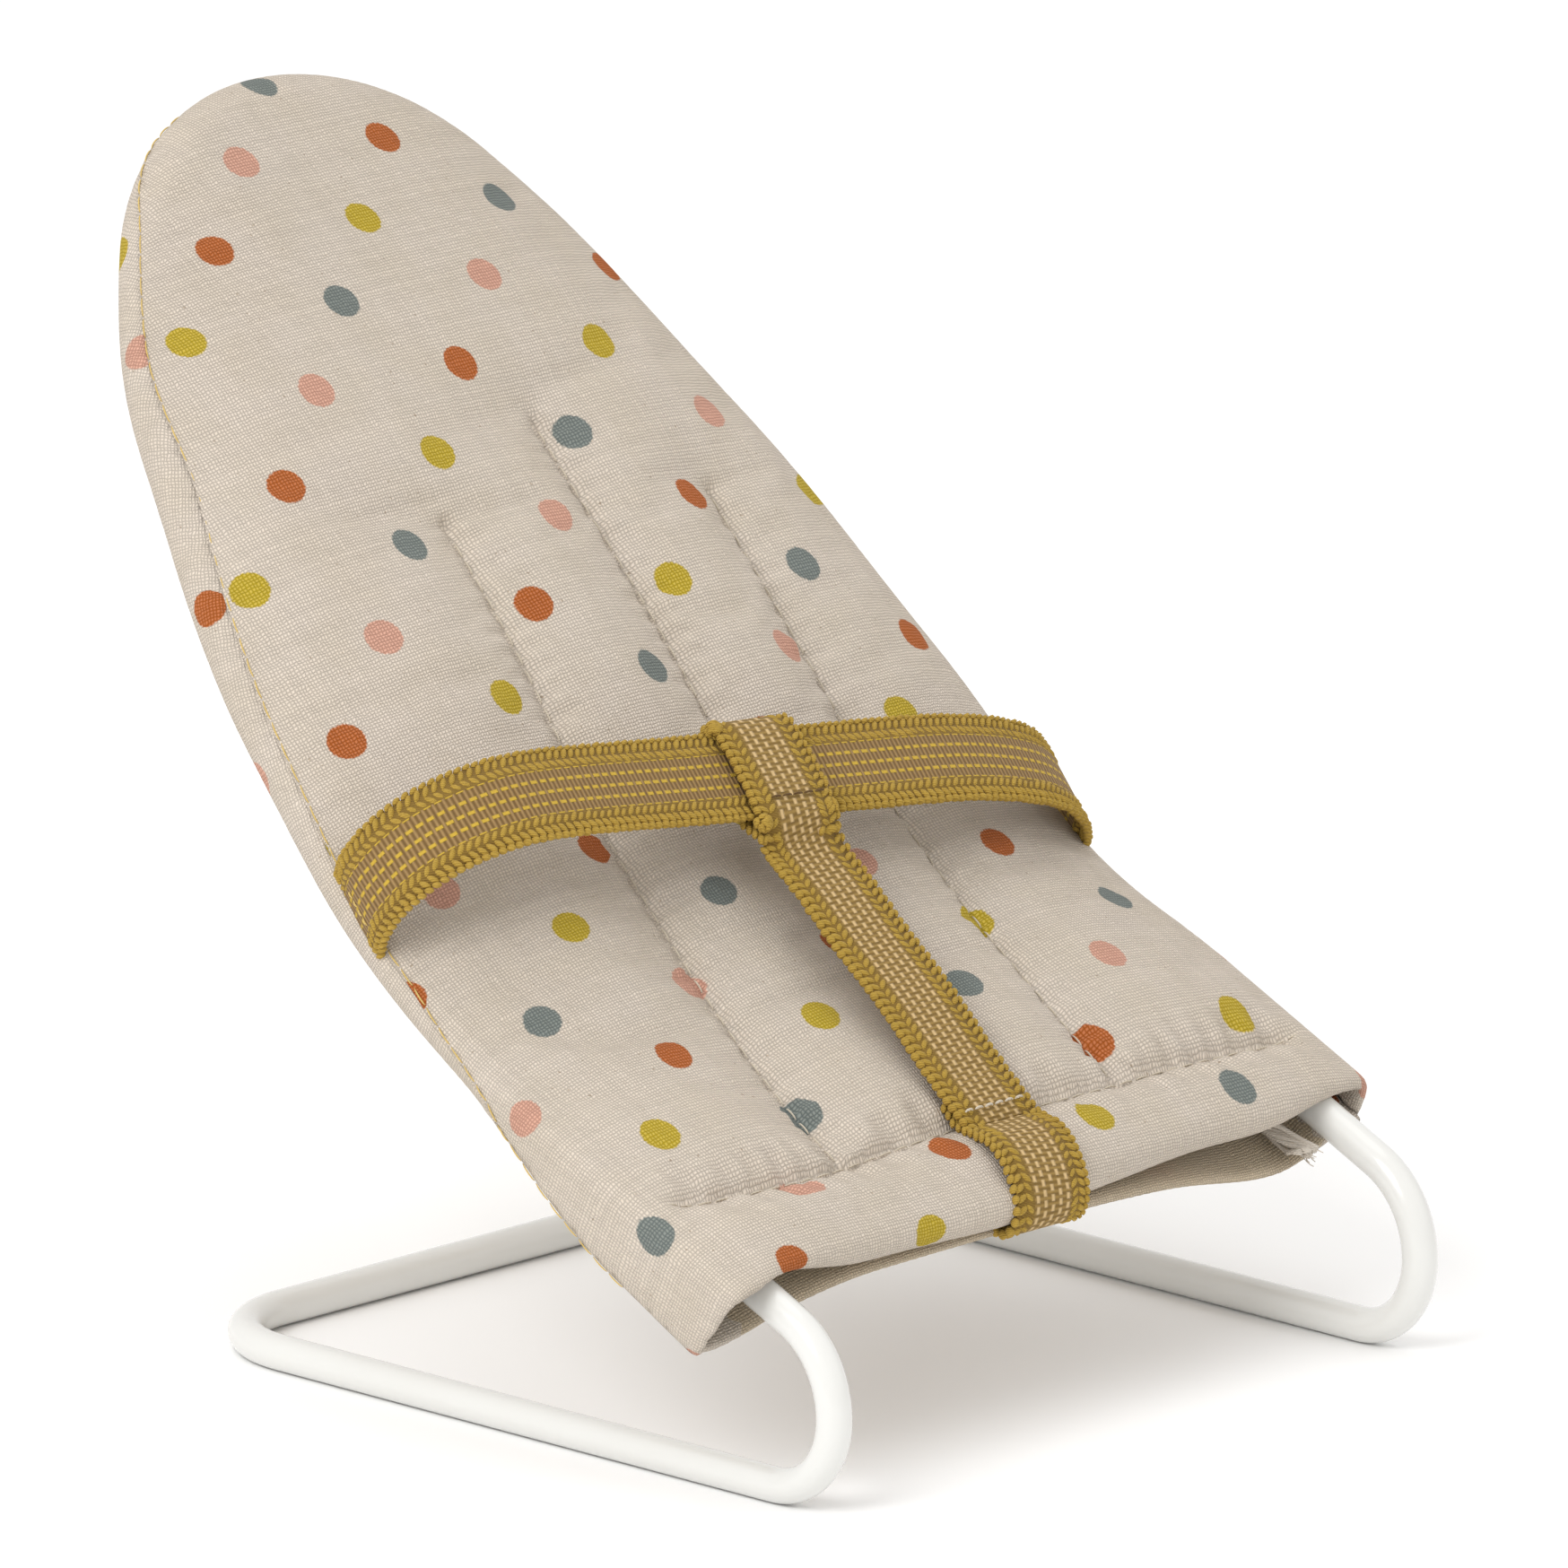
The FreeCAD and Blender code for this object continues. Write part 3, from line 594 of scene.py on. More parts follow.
def wrap(index, reach):
    """Cloth that has turned over the rim by a length: how far out it stands, how high above
    the rim's centre, and the outward normal's two parts."""
    drop, turn = RIM.drop[index], RIM.turn[index]
    first = np.clip(reach, 0, QUARTER) / ROLL
    wall = np.clip(reach - QUARTER, 0, drop)
    second = np.clip(reach - QUARTER - drop, 0, turn * math.pi / 2) / turn
    out = ROLL * np.sin(first) - turn * (1 - np.cos(second))
    up = ROLL * np.cos(first) - wall - turn * np.sin(second)
    angle = first + second
    return out, up, np.sin(angle), np.cos(angle)


def stand(flat, out, up, normal_out, normal_up, index, folded):
    """Seat coordinates of cloth beside the rim: flat is x and run, folded is how far it is
    set in, against its normal."""
    outward = RIM.normal[index]
    place = flat + outward * (out - folded * normal_out)[:, None]
    return place[:, 0], place[:, 1], up - folded * normal_up


def fold_in(run, fold, radius):
    """Cloth past a folded front edge turns in and back: the new run and how deep it is."""
    past = np.clip(fold - run, 0, None)
    angle = np.clip(past / radius, 0, math.pi)
    back = np.clip(past - math.pi * radius, 0, None)
    new_run = np.where(past > 0, fold - radius * np.sin(angle) + back, run)
    return new_run, radius * (1 - np.cos(angle))


def quilt_distance(flat):
    """How far each flat point is from the nearest quilting line."""
    nearest = np.full(len(flat), 99.0)
    for _, low, high, top in QUILT_SEAMS:
        start, end = np.array([(low, along(HEM_LINE, low)), (high, top)])
        span = end - start
        share = np.clip(((flat - start) @ span) / span.dot(span), 0, 1)
        apart = np.linalg.norm(flat - start - share[:, None] * span, axis=1)
        nearest = np.minimum(nearest, apart)
    return nearest


def front_fold(x):
    """The front panel's fold at the seat's front edge: its run and its radius."""
    radius = along(FOLD_RADIUS, x, 3.0)
    return along(FRONT_EDGE, x, 2.0) + radius, radius


def lay(flat, fold, radius):
    """A flat pattern with its front edge turned in: the new flat points, how deep each is
    folded, its nearest place on the rim, how far outside the rim it is and the rim's lift."""
    run, folded = fold_in(flat[:, 1], fold, radius)
    laid = np.column_stack([flat[:, 0], run])
    return (laid, folded, *RIM.nearest(laid), along(RIM_LIFT, run))


def front_place(flat):
    """Where the front panel's flat pattern lies, in millimetres."""
    flat = np.asarray(flat, float)
    fold, radius = front_fold(flat[:, 0])
    laid, folded, index, outside, centre_lift = lay(flat, fold, radius)
    run = laid[:, 1]
    out, up, normal_out, normal_up = wrap(index, np.clip(outside, 0, None))
    inside = np.clip(-outside, 0, None)
    level = along(FACE_LEVEL, run) - centre_lift - ROLL
    crown = level * (1 - np.exp(-inside / CROWN_WIDTH))
    bridge = along(FACE_BRIDGE, run) * ease((inside - BRIDGE_START) / BRIDGE_WIDTH)
    fading = 1 - ease(np.clip(outside, 0, None) / RIM.seam[index])
    for x, place, width, height in LUMPS:
        lump = height * np.exp(-((flat[:, 0] - x) ** 2 + (run - place) ** 2) / width ** 2)
        bridge = bridge + lump * fading
    hem = along(HEM_LINE, flat[:, 0])
    seam_dip = QUILT_DIP[0] * np.exp(-quilt_distance(flat) / QUILT_DIP[1])
    hem_dip = HEM_DIP[0] * np.exp(-np.abs(flat[:, 1] - hem) / HEM_DIP[1])
    roll = HEM_ROLL * np.sin(np.pi * np.clip((flat[:, 1] - fold) / (hem - fold), 0, 1))
    relief = (roll - np.maximum(seam_dip, hem_dip)) * ease(inside / 5)
    spot = np.where((outside > 0)[:, None], RIM.line[index], laid)
    up = up + crown + bridge + relief
    x, run, up = stand(spot, out, up, normal_out, normal_up, index, folded)
    return seat_points(x, run, centre_lift + up)


def waves(place, length, swing, drift):
    """The phase of ripples that come closer together and further apart along the cloth."""
    return 2 * np.pi * place / length + swing * np.sin(place / drift)


def crimp(flat):
    """Fine relief of the quilted front: the stitched grooves and the puckers beside them."""
    across, run = flat[:, 0], flat[:, 1]
    apart, hem = quilt_distance(flat), run - along(HEM_LINE, across)
    inside = np.clip(-RIM.nearest(flat)[1], 0, None)
    (pucker_height, *pucker), (gather_height, *gather) = PUCKER, GATHER
    puckers = np.exp(-((apart - pucker[0]) / pucker[1]) ** 2) * np.sin(waves(run, 3.3, 1.7, 3.7))
    gathers = (np.exp(-((np.abs(hem) - gather[0]) / gather[1]) ** 2)
               * np.sin(waves(across, 4.3, 1.8, 4.9) + 0.25 * hem))
    hem_groove = np.exp(-(hem / STITCH_WIDTH) ** 2) * ease((HEM_STITCHED - np.abs(across)) / 3)
    groove = np.exp(-(apart / STITCH_WIDTH) ** 2) + hem_groove
    slack = (np.sin(across / 5.3 + 2.2 * np.sin(run / 11))
             * np.sin(run / 9.1 + 1.4 * np.sin(across / 13)))
    relief = pucker_height * puckers + gather_height * gathers - STITCH_DEPTH * groove
    return (relief + SLACK * slack) * ease(inside / RIM_FADE)


def back_place(flat):
    """Where the back panel's flat pattern lies, in millimetres."""
    flat = np.asarray(flat, float)
    fold = along(BACK_FOLD, flat[:, 0], 3.0)
    laid, folded, index, outside, centre_lift = lay(flat, fold, SHARP_FOLD)
    run = laid[:, 1]
    start = ROLL - RIM.turn[index]
    beyond = outside - start
    reach = RIM.under[index] - np.clip(beyond, 0, None)
    out, up, normal_out, normal_up = wrap(index, reach)
    inside = np.clip(-beyond, 0, None)
    front = np.exp(-((run - fold) / 14) ** 2)
    level = BACK_LEVEL + (along(BACK_FRONT, flat[:, 0]) - BACK_LEVEL) * front - centre_lift - up
    up = up + level * ease(inside / along(BACK_TURN, run))
    flat_out = np.where(beyond > 0, out, 0)
    spot = np.where((beyond > 0)[:, None], RIM.line[index], laid)
    x, run, up = stand(spot, flat_out, up, normal_out, normal_up, index, folded)
    return seat_points(x, run, centre_lift + up)


def flat_mesh(outline, lines):
    """Triangles over a flat outline, with edges along its border and the given lines:
    points, faces and whether each point is on the border or on a line."""
    borders = [spaced(np.concatenate([outline, outline[:1]]), SPACING)[:-1]]
    inner = [spaced(line, SPACING) for line in lines]
    fixed = np.concatenate(borders + inner)
    edges, base = [], 0
    for number, line in enumerate(borders + inner):
        count = len(line)
        edges += [(base + k, base + k + 1) for k in range(count - 1)]
        if number == 0:
            edges.append((base + count - 1, base))
        base += count
    low, high = fixed.min(0), fixed.max(0)
    rows = np.arange(low[1], high[1], SPACING * math.sqrt(0.75))
    grid = []
    for number, y in enumerate(rows):
        xs = np.arange(low[0] + SPACING / 2 * (number % 2), high[0], SPACING)
        grid.append(np.column_stack([xs, np.full(len(xs), y)]))
    grid = np.concatenate(grid)
    _, apart = closest(grid, fixed)
    points = np.concatenate([fixed, grid[apart > (CLEARANCE * SPACING) ** 2]])
    made = geometry.delaunay_2d_cdt([Vector(p) for p in points], edges, [], 1, 1e-4)
    verts = np.array([tuple(v) for v in made[0]])
    on_line = np.array([any(k < len(fixed) for k in source) for source in made[3]])
    return verts, made[2], on_line


CLOTH_SCALE, CLOTH_FRAMES = 10.0, 20
CLOTH_THICKNESS = 0.45


def read_vertices(mesh, kind="co"):
    """Places or normals of a mesh's vertices, one row each."""
    values = np.zeros(3 * len(mesh.vertices))
    mesh.vertices.foreach_get(kind, values)
    return values.reshape(-1, 3)


def read_pattern(mesh):
    """The flat coordinates at every corner of a mesh's faces, one row each."""
    values = np.zeros(2 * len(mesh.loops))
    mesh.uv_layers["cloth"].data.foreach_get("uv", values)
    return values.reshape(-1, 2)


def run_cloth(item, pinned, pressure, slack, limit):
    """Lets the cloth settle, held where it is pinned, and keeps the result in the mesh. It is
    made larger for this, since the solver is meant for bigger cloth."""
    scene = bpy.context.scene
    mesh = item.data
    start = read_vertices(mesh)
    mesh.vertices.foreach_set("co", (start * CLOTH_SCALE).ravel())
    group = item.vertex_groups.new(name="pin")
    group.add(np.flatnonzero(pinned).tolist(), 1.0, "REPLACE")
    cloth = item.modifiers.new("cloth", "CLOTH")
    settings = cloth.settings
    settings.quality = 6
    settings.mass = 0.25
    settings.tension_stiffness = settings.compression_stiffness = 18
    settings.shear_stiffness = 9
    settings.bending_stiffness = 1.2
    settings.tension_damping = settings.compression_damping = 12
    settings.air_damping = 3
    settings.vertex_group_mass = "pin"
    settings.pin_stiffness = 1.0
    settings.use_pressure = True
    settings.uniform_pressure_force = pressure
    settings.shrink_min = -slack
    settings.effector_weights.gravity = 0
    cloth.collision_settings.use_collision = False
    cloth.collision_settings.use_self_collision = False
    for number in range(1, CLOTH_FRAMES + 1):
        scene.frame_set(number)
    settled = item.evaluated_get(bpy.context.evaluated_depsgraph_get()).data
    result = read_vertices(settled)
    item.modifiers.remove(cloth)
    item.vertex_groups.remove(group)
    scene.frame_set(1)
    move = result / CLOTH_SCALE - start
    length = np.linalg.norm(move, axis=1)
    move *= (limit * MM * np.tanh(length / (limit * MM)) / np.maximum(length, 1e-9))[:, None]
    mesh.vertices.foreach_set("co", (start + move).ravel())
    mesh.update()


def bake(item):
    """Applies an item's modifiers to its mesh."""
    made = item.evaluated_get(bpy.context.evaluated_depsgraph_get())
    mesh = bpy.data.meshes.new_from_object(made)
    item.modifiers.clear()
    item.data = mesh
    mesh.name = item.name


def thicken(item, thickness, relief=None):
    """One subdivision, a fine relief worked out from the flat pattern, and the cloth's
    thickness, set inwards, all applied to the mesh."""
    smooth = item.modifiers.new("smooth", "SUBSURF")
    smooth.levels = smooth.render_levels = 1
    bake(item)
    if relief is not None:
        mesh = item.data
        corner, flat = np.zeros(len(mesh.loops), int), np.zeros((len(mesh.vertices), 2))
        mesh.loops.foreach_get("vertex_index", corner)
        flat[corner] = read_pattern(mesh)
        place = read_vertices(mesh) + read_vertices(mesh, "normal") * relief(flat)[:, None] * MM
        mesh.vertices.foreach_set("co", place.ravel())
    shell = item.modifiers.new("shell", "SOLIDIFY")
    shell.thickness = thickness * MM
    shell.offset = -1
    # the inner side takes the second material: the unprinted cloth, darkened as painted shade
    shell.material_offset = 1
    shell.material_offset_rim = 0
    bake(item)


def pull_print(item):
    """Draws the print along with the cloth that is stretched over the hem and the head."""
    pattern = read_pattern(item.data)
    run = pattern[:, 1].copy()
    pattern += ease((run - HEAD_PULL_FROM) / HEAD_PULL_OVER)[:, None] * HEAD_PULL
    pattern[:, 1] += HEM_PULL * ease((HEM_PULL_FROM - run) / HEM_PULL_OVER)
    item.data.uv_layers["cloth"].data.foreach_set("uv", pattern.ravel())


def panel_outline(reach, low):
    """A panel's flat outline: the rim's line moved out by a reach, cut off at a low run."""
    edge = RIM.line + RIM.normal * reach[:, None]
    return edge[edge[:, 1] >= low]


def make_cover():
    """The padded sleeve: the quilted front panel and the back panel, joined at the side seam."""
    hem_x = np.linspace(-60, 60, 80)
    hem = np.column_stack([hem_x, along(HEM_LINE, hem_x)])
    quilts = [np.array([(low, along(HEM_LINE, low) + 1.0), (high, top)])
              for _, low, high, top in QUILT_SEAMS]
    outline = panel_outline(RIM.seam, PANEL_LOW)
    flat, faces, on_line = flat_mesh(outline, [hem[np.abs(hem_x) < 50]] + quilts)
    front = make_object("cover_front", front_place(flat), faces, [PRINTED, UNPRINTED_AND_SHADE], flat)
    _, outside = RIM.nearest(flat)
    tucked = flat[:, 1] < front_fold(flat[:, 0])[0] + 1.0
    pinned = on_line | tucked | (outside > 0.5)
    run_cloth(front, pinned, pressure=3.5, slack=0.010, limit=1.8)
    thicken(front, CLOTH_THICKNESS, crimp)
    pull_print(front)
    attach(front, "seat")
    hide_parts("front_panel", "hem_roll", "wadding_outer_left", "wadding_inner_left",
                "wadding_inner_right", "wadding_outer_right", "head_pad")

    reach = ROLL - RIM.turn + RIM.under - RIM.seam
    outline = panel_outline(reach, PANEL_LOW)
    flat, faces, _ = flat_mesh(outline, [])
    faces = [face[::-1] for face in faces]
    uv = flat * [-1, 1] + [7.0, 4.0]
    back = make_object("cover_back", back_place(flat), faces, [PRINTED, UNPRINTED_AND_SHADE], uv)
    # the back panel's front strip takes the unprinted cloth: no dots, and a darker colour as
    # painted shade
    middle = np.array([flat[list(face)].mean(0) for face in faces])
    undotted_shaded_strip = (np.abs(middle[:, 0]) < 46) & (middle[:, 1] < 18)
    back.data.polygons.foreach_set("material_index", undotted_shaded_strip.astype(int))
    thicken(back, CLOTH_THICKNESS)
    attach(back, "seat")
    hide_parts("back_panel")


def face_normal(point):
    """Roughly square to the seat's face at a point in millimetres."""
    slope = np.interp(point[1], [EXIT_Y + HIP_START * math.cos(SEAT), 5.0], [SEAT, BACK])
    return np.array([0, -math.sin(slope), math.cos(slope)])


def sewn(name, line, outward, thread, body, node, length=1.9, gap=0.6, radius=0.11):
    """A row of stitches as a piece of its own."""
    points, faces = stitch_row(line, outward, length, gap, radius)
    row = make_object(name + "_row", points, faces, [thread])
    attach(row, body)
    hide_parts(node)


def make_seams():
    """Rows of stitches: three quilting lines, the hem line and the side seam."""
    for name, low, high, top in QUILT_SEAMS:
        flat = spaced([(low, along(HEM_LINE, low) + 1.0), (high, top)], 1.0)
        line = front_place(flat) - face_normal([0, 0, 0]) * 0.25
        name = "quilt_stitch_" + name
        sewn(name, line, face_normal, CREAM_THREAD, "seat", name)
    hem_x = np.linspace(-50, 50, 100)
    flat = np.column_stack([hem_x, along(HEM_LINE, hem_x)])
    line = front_place(flat) - face_normal([0, EXIT_Y, 0]) * 0.25
    sewn("hem_stitch", line, face_normal, CREAM_THREAD, "seat", "hem_stitch")
    reach = RIM.seam - 0.35
    flat = (RIM.line + RIM.normal * reach[:, None])[RIM.line[:, 1] > 17]
    line = front_place(flat)
    middle = line.mean(0)

    def away(point):
        heading = point - middle
        heading[1:] *= 0.4
        return heading / np.linalg.norm(heading)

    sewn("side_seam_stitch", line, away, GOLD_THREAD, "seat", "side_seam_stitch", 2.4, 0.35, 0.09)


# ---------- the elastic straps

WEB_HALF, WEB_THICK = 2.85, 0.8
GAP_SHADE_HALF = 5.2            # the braid sits on a thin sheet this far from the middle, coloured dark brown as painted shade in the gaps between its beads
GAP_SHADE_RISE = 0.15           # half that painted-shade sheet's thickness at its edges
BELT_RUN, BELT_SKEW, BELT_LEAN = 66.0, math.radians(-6), math.radians(5)
STRAP_X = -1.4                # the crotch strap's place across the seat
TAIL_SLANT = 0.16             # how far the tail drifts to the left for each millimetre of run

# The lap belt in its own plane, from the left side seam over the lap to the right: x, lift.
BELT_LINE = [(-50.5, 1.6), (-52.0, 6.0), (-51.0, 11.5), (-47.5, 16.0), (-41.0, 19.2),
             (-32.0, 20.0), (-10.0, 18.5), (12.0, 17.3), (28.0, 16.0), (40.0, 13.0), (46.8, 9.0),
             (50.2, 4.0), (49.0, 0.0)]
# The crotch strap from its stitched foot to the loop: run, lift.
BAND_LINE = [(15.0, 5.9), (17.0, 6.5), (22.6, 8.0), (32.0, 11.0), (40.0, 13.0), (48.0, 14.7),
             (55.0, 15.6)]
# Its loop round the belt, in the belt's own axes: up the seat and outward.
LOOP_LINE = [(-6.4, 1.1), (-4.4, 1.6), (0.0, 1.75), (4.6, 1.65), (6.2, 0.9), (6.4, -0.6),
             (4.6, -1.6), (0.0, -1.8), (-4.6, -1.6), (-6.3, -0.9), (-8.0, -0.1)]
# The tail sewn round the hem: run, lift.
TAIL_LINE = [(18.6, 5.6), (16.4, 5.3), (14.0, 6.2), (11.0, 7.1), (8.0, 6.7), (5.4, 5.4),
             (3.6, 3.4), (3.3, 1.2), (4.6, -0.4), (7.5, -1.0), (10.0, -1.0)]


def smooth_line(points, step):
    """A smooth curve through points, divided into equal steps."""
    points = np.asarray(points, float)
    points = np.concatenate([[2 * points[0] - points[1]], points, [2 * points[-1] - points[-2]]])
    rows = []
    for a, b, c, d in zip(points, points[1:], points[2:], points[3:]):
        for share in np.linspace(0, 1, 12, endpoint=False):
            rows.append(0.5 * (2 * b + (c - a) * share + (2 * a - 5 * b + 4 * c - d) * share ** 2
                               + (3 * b - a - 3 * c + d) * share ** 3))
    rows.append(points[-2])
    return spaced(rows, step)


def ribbon_frames(line, across):
    """Tangents, widths and outward normals along a strap's line; across may turn along it."""
    tangent = unit(np.gradient(line, axis=0))
    across = np.broadcast_to(across, line.shape)
    across = unit(across - tangent * (across * tangent).sum(1)[:, None])
    return tangent, across, np.cross(tangent, across)


def web_mesh(line, across):
    """The strap's woven middle and, at its edges, a dark sheet under the braid that is painted
    shade for the gaps
    between its beads: points, faces, flat coordinates and which faces belong to that sheet."""
    _, wide, normal = ribbon_frames(line, across)
    travel = travelled(line)
    columns = np.linspace(-WEB_HALF, WEB_HALF, 7)
    section = [(-GAP_SHADE_HALF, GAP_SHADE_RISE), *((u, WEB_THICK / 2) for u in columns),
               (GAP_SHADE_HALF, GAP_SHADE_RISE)]
    section += [(u, -rise) for u, rise in section[::-1]]
    points, uv = [], []
    for u, rise in section:
        points.append(line + wide * u + normal * rise)
        uv.append(np.column_stack([np.full(len(line), u), travel]))
    points, uv = np.stack(points, 1), np.stack(uv, 1)
    around, count = len(section), len(line)
    faces, gap_shade_faces = [], []
    for row in range(count - 1):
        for number in range(around):
            after = (number + 1) % around
            gap_shade_faces.append(max(abs(section[number][0]), abs(section[after][0])) > WEB_HALF)
            faces.append((row * around + number, (row + 1) * around + number,
                          (row + 1) * around + after, row * around + after))
    faces.append(tuple(range(around)))
    faces.append(tuple(range((count - 1) * around, count * around))[::-1])
    return points.reshape(-1, 3), faces, uv.reshape(-1, 2), gap_shade_faces + [False, False]


def bead_template(sides=7, rings=4):
    """A unit bead, long along its first axis: points and faces."""
    points, faces = [(-1.0, 0.0, 0.0)], []
    for ring in range(1, rings + 1):
        turn = math.pi * ring / (rings + 1)
        for side in range(sides):
            angle = 2 * math.pi * side / sides
            across, up = math.cos(angle), math.sin(angle)
            points.append((-math.cos(turn), math.sin(turn) * across, math.sin(turn) * up))
    points.append((1.0, 0.0, 0.0))
    last = len(points) - 1
    for side in range(sides):
        after = (side + 1) % sides
        faces.append((0, 1 + after, 1 + side))
        faces.append((last, last - sides + side, last - sides + after))
        for ring in range(rings - 1):
            base = 1 + ring * sides
            faces.append((base + side, base + after, base + sides + after, base + sides + side))
    return np.array(points), faces


BEAD_POINTS, BEAD_FACES = bead_template()


def beads(centres, along_axis, wide_axis, up_axis, half_length, half_width, half_height):
    """Many beads at once, each with its own axes: points and faces."""
    shape = BEAD_POINTS * [half_length, half_width, half_height]
    points = (centres[:, None] + shape[None, :, :1] * along_axis[:, None]
              + shape[None, :, 1:2] * wide_axis[:, None] + shape[None, :, 2:] * up_axis[:, None])
    faces = [tuple(number * len(BEAD_POINTS) + index for index in face)
             for number in range(len(centres)) for face in BEAD_FACES]
    return points.reshape(-1, 3), faces


# Rows of the braided edge: offset from the middle, slant in degrees, half length, half width.
BRAID_ROWS = [(5.40, 20, 0.56, 0.34), (4.62, 56, 0.82, 0.41), (3.42, -46, 0.86, 0.41)]
BRAID_PITCH = 1.06
KNOT_BEADS, KNOT_BEAD = 26, (0.62, 0.34, 0.42)     # a knot's beads and their half sizes


def braid_mesh(line, across, rng):
    """The strap's two braided edges, bead by bead."""
    parts = []
    row = spaced(line, BRAID_PITCH)
    wide_at = np.broadcast_to(across, line.shape)
    turned = read_off(np.linspace(0, 1, len(row)), np.linspace(0, 1, len(line)), wide_at)
    tangent, wide, normal = ribbon_frames(row, turned)
    for sign in (-1, 1):
        for offset, slant, half_length, half_width in BRAID_ROWS:
            angle = math.radians(slant) * sign
            jitter = np.array([rng.uniform(-0.14, 0.14) for _ in row])[:, None]
            lengthwise = tangent * math.cos(angle) + wide * math.sin(angle) + normal * jitter
            sideways = -tangent * math.sin(angle) + wide * math.cos(angle)
            centres = row + wide * (sign * offset) + normal * jitter * 0.5
            parts.append(beads(centres, lengthwise, sideways, normal, half_length, half_width, 0.6))
    return merge(parts)


def knot_mesh(centre, rng, size=0.75):
    """A little ball of folded braid."""
    turns = unit(np.array([[rng.gauss(0, 1) for _ in range(3)] for _ in range(KNOT_BEADS)]))
    along_axis = unit(np.cross(turns, (0.3, 0.8, 0.5)))
    return beads(centre + turns * size, along_axis, np.cross(turns, along_axis), turns, *KNOT_BEAD)


def make_strap(name, line, across, web, body, nodes, rng, knots=()):
    """One strap: the woven middle and its braided edges, in one piece."""
    points, faces, uv, gap_shade_faces = web_mesh(line, across)
    braid_points, braid_faces = merge([braid_mesh(line, across, rng)]
                                      + [knot_mesh(centre, rng) for centre in knots])
    count = len(points)
    faces = faces + [tuple(count + index for index in face) for face in braid_faces]
    uv = np.concatenate([uv, np.zeros((len(braid_points), 2))])
    strap = make_object(name + "_woven", np.concatenate([points, braid_points]), faces,
                        [web, BRAID, BRAID_GAP_SHADE], uv)
    # faces of the sheet under the braid take the dark painted-shade material
    kinds = [2 * behind for behind in gap_shade_faces] + [1] * len(braid_faces)
    strap.data.polygons.foreach_set("material_index", kinds)
    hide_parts(*nodes)
    if body:
        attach(strap, body)
    return strap


def belt_axes():
    """The belt's origin and axes: across the seat, up the seat and outward."""
    origin, up_seat = seat_points([0, 0], [BELT_RUN, BELT_RUN + 0.01], 0)
    up_seat = (up_seat - origin) / 0.01
    outward = np.cross([1, 0, 0], up_seat)
    across = np.array([math.cos(BELT_SKEW), 0, 0]) + up_seat * math.sin(BELT_SKEW)
    up_belt = up_seat * math.cos(BELT_SKEW) - np.array([math.sin(BELT_SKEW), 0, 0])
    return origin, across, up_belt, outward


def make_straps():
    """The lap belt, the crotch strap with its loop and tail, and the tacks that hold them."""
    rng = random.Random(4)
    origin, across, up_belt, outward = belt_axes()
    belt = smooth_line([origin + across * x + outward * lift for x, lift in BELT_LINE], 0.8)
    lean_up = up_belt * math.cos(BELT_LEAN) + outward * math.sin(BELT_LEAN)
    lean_out = outward * math.cos(BELT_LEAN) - up_belt * math.sin(BELT_LEAN)
    make_strap("lap_belt", belt, lean_up, BELT_WEB, "seat", ["lap_belt"], rng)
    for name, row in (("left", belt[2:4].mean(0)), ("right", belt[-4:-2].mean(0))):
        side = np.array([-1.0 if name == "left" else 1.0, 0, 0])
        line = row + side * 0.45 + lean_up * np.linspace(-2.6, 2.6, 12)[:, None]
        sewn("belt_tack_" + name, line, lambda point, side=side: side, GOLD_THREAD, "seat",
             "belt_tack_" + name, 0.9, 0.3, 0.12)

    belt_lift = np.interp(STRAP_X, *zip(*[place for place in BELT_LINE if place[1] > 12]))
    centre = origin + across * STRAP_X + outward * belt_lift
    loop = [centre + lean_up * y + lean_out * z for y, z in LOOP_LINE]
    band = [seat_points(STRAP_X, run, lift)[0] for run, lift in BAND_LINE]
    line = smooth_line(band + loop, 0.8)
    twist = ease(np.linspace(0, 1, len(line)) / 0.55)[:, None]
    wide = np.array([1.0, 0, 0]) * (1 - twist) + across * twist
    knots = [centre + across * -5.2 + lean_up * y + lean_out * 1.2 for y in (5.6, -6.8)]
    strap = make_strap("crotch_strap", line, wide, STRAP_WEB, None, ["crotch_strap"], rng, knots)
    foot, above = seat_points([0, 0], [17.5, 26.0], [6.6, 9.3]) * MM
    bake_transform(strap)
    closing = centre - lean_up * 4.3 + lean_out * 2.25
    closing = closing + across * np.linspace(-3.4, 4.4, 12)[:, None]
    sewn("loop_tack", closing, lambda point: lean_out, DARK_THREAD, "crotch_strap", "loop_tack",
         1.3, 0.25, 0.13)

    tail = [seat_points(STRAP_X - (TAIL_LINE[1][0] - run) * TAIL_SLANT, run, lift)[0]
            for run, lift in TAIL_LINE]
    make_strap("strap_tail", smooth_line(tail, 0.8), np.array([1.0, 0, 0]), STRAP_WEB, "seat",
               ["strap_tail"], rng)
    row = seat_points(STRAP_X + np.linspace(-5.2, 5.2, 12), 16.6, 7.2)
    sewn("strap_tack", row, face_normal, CREAM_THREAD, "seat", "strap_tack", 1.2, 0.35, 0.16)


STRANDS, COARSE_STRANDS = 26, 15
COARSE_RADIUS, FINE_RADIUS = 0.30, 0.06
FLATTENED = 1.6               # the bundle is this much wider than it is high


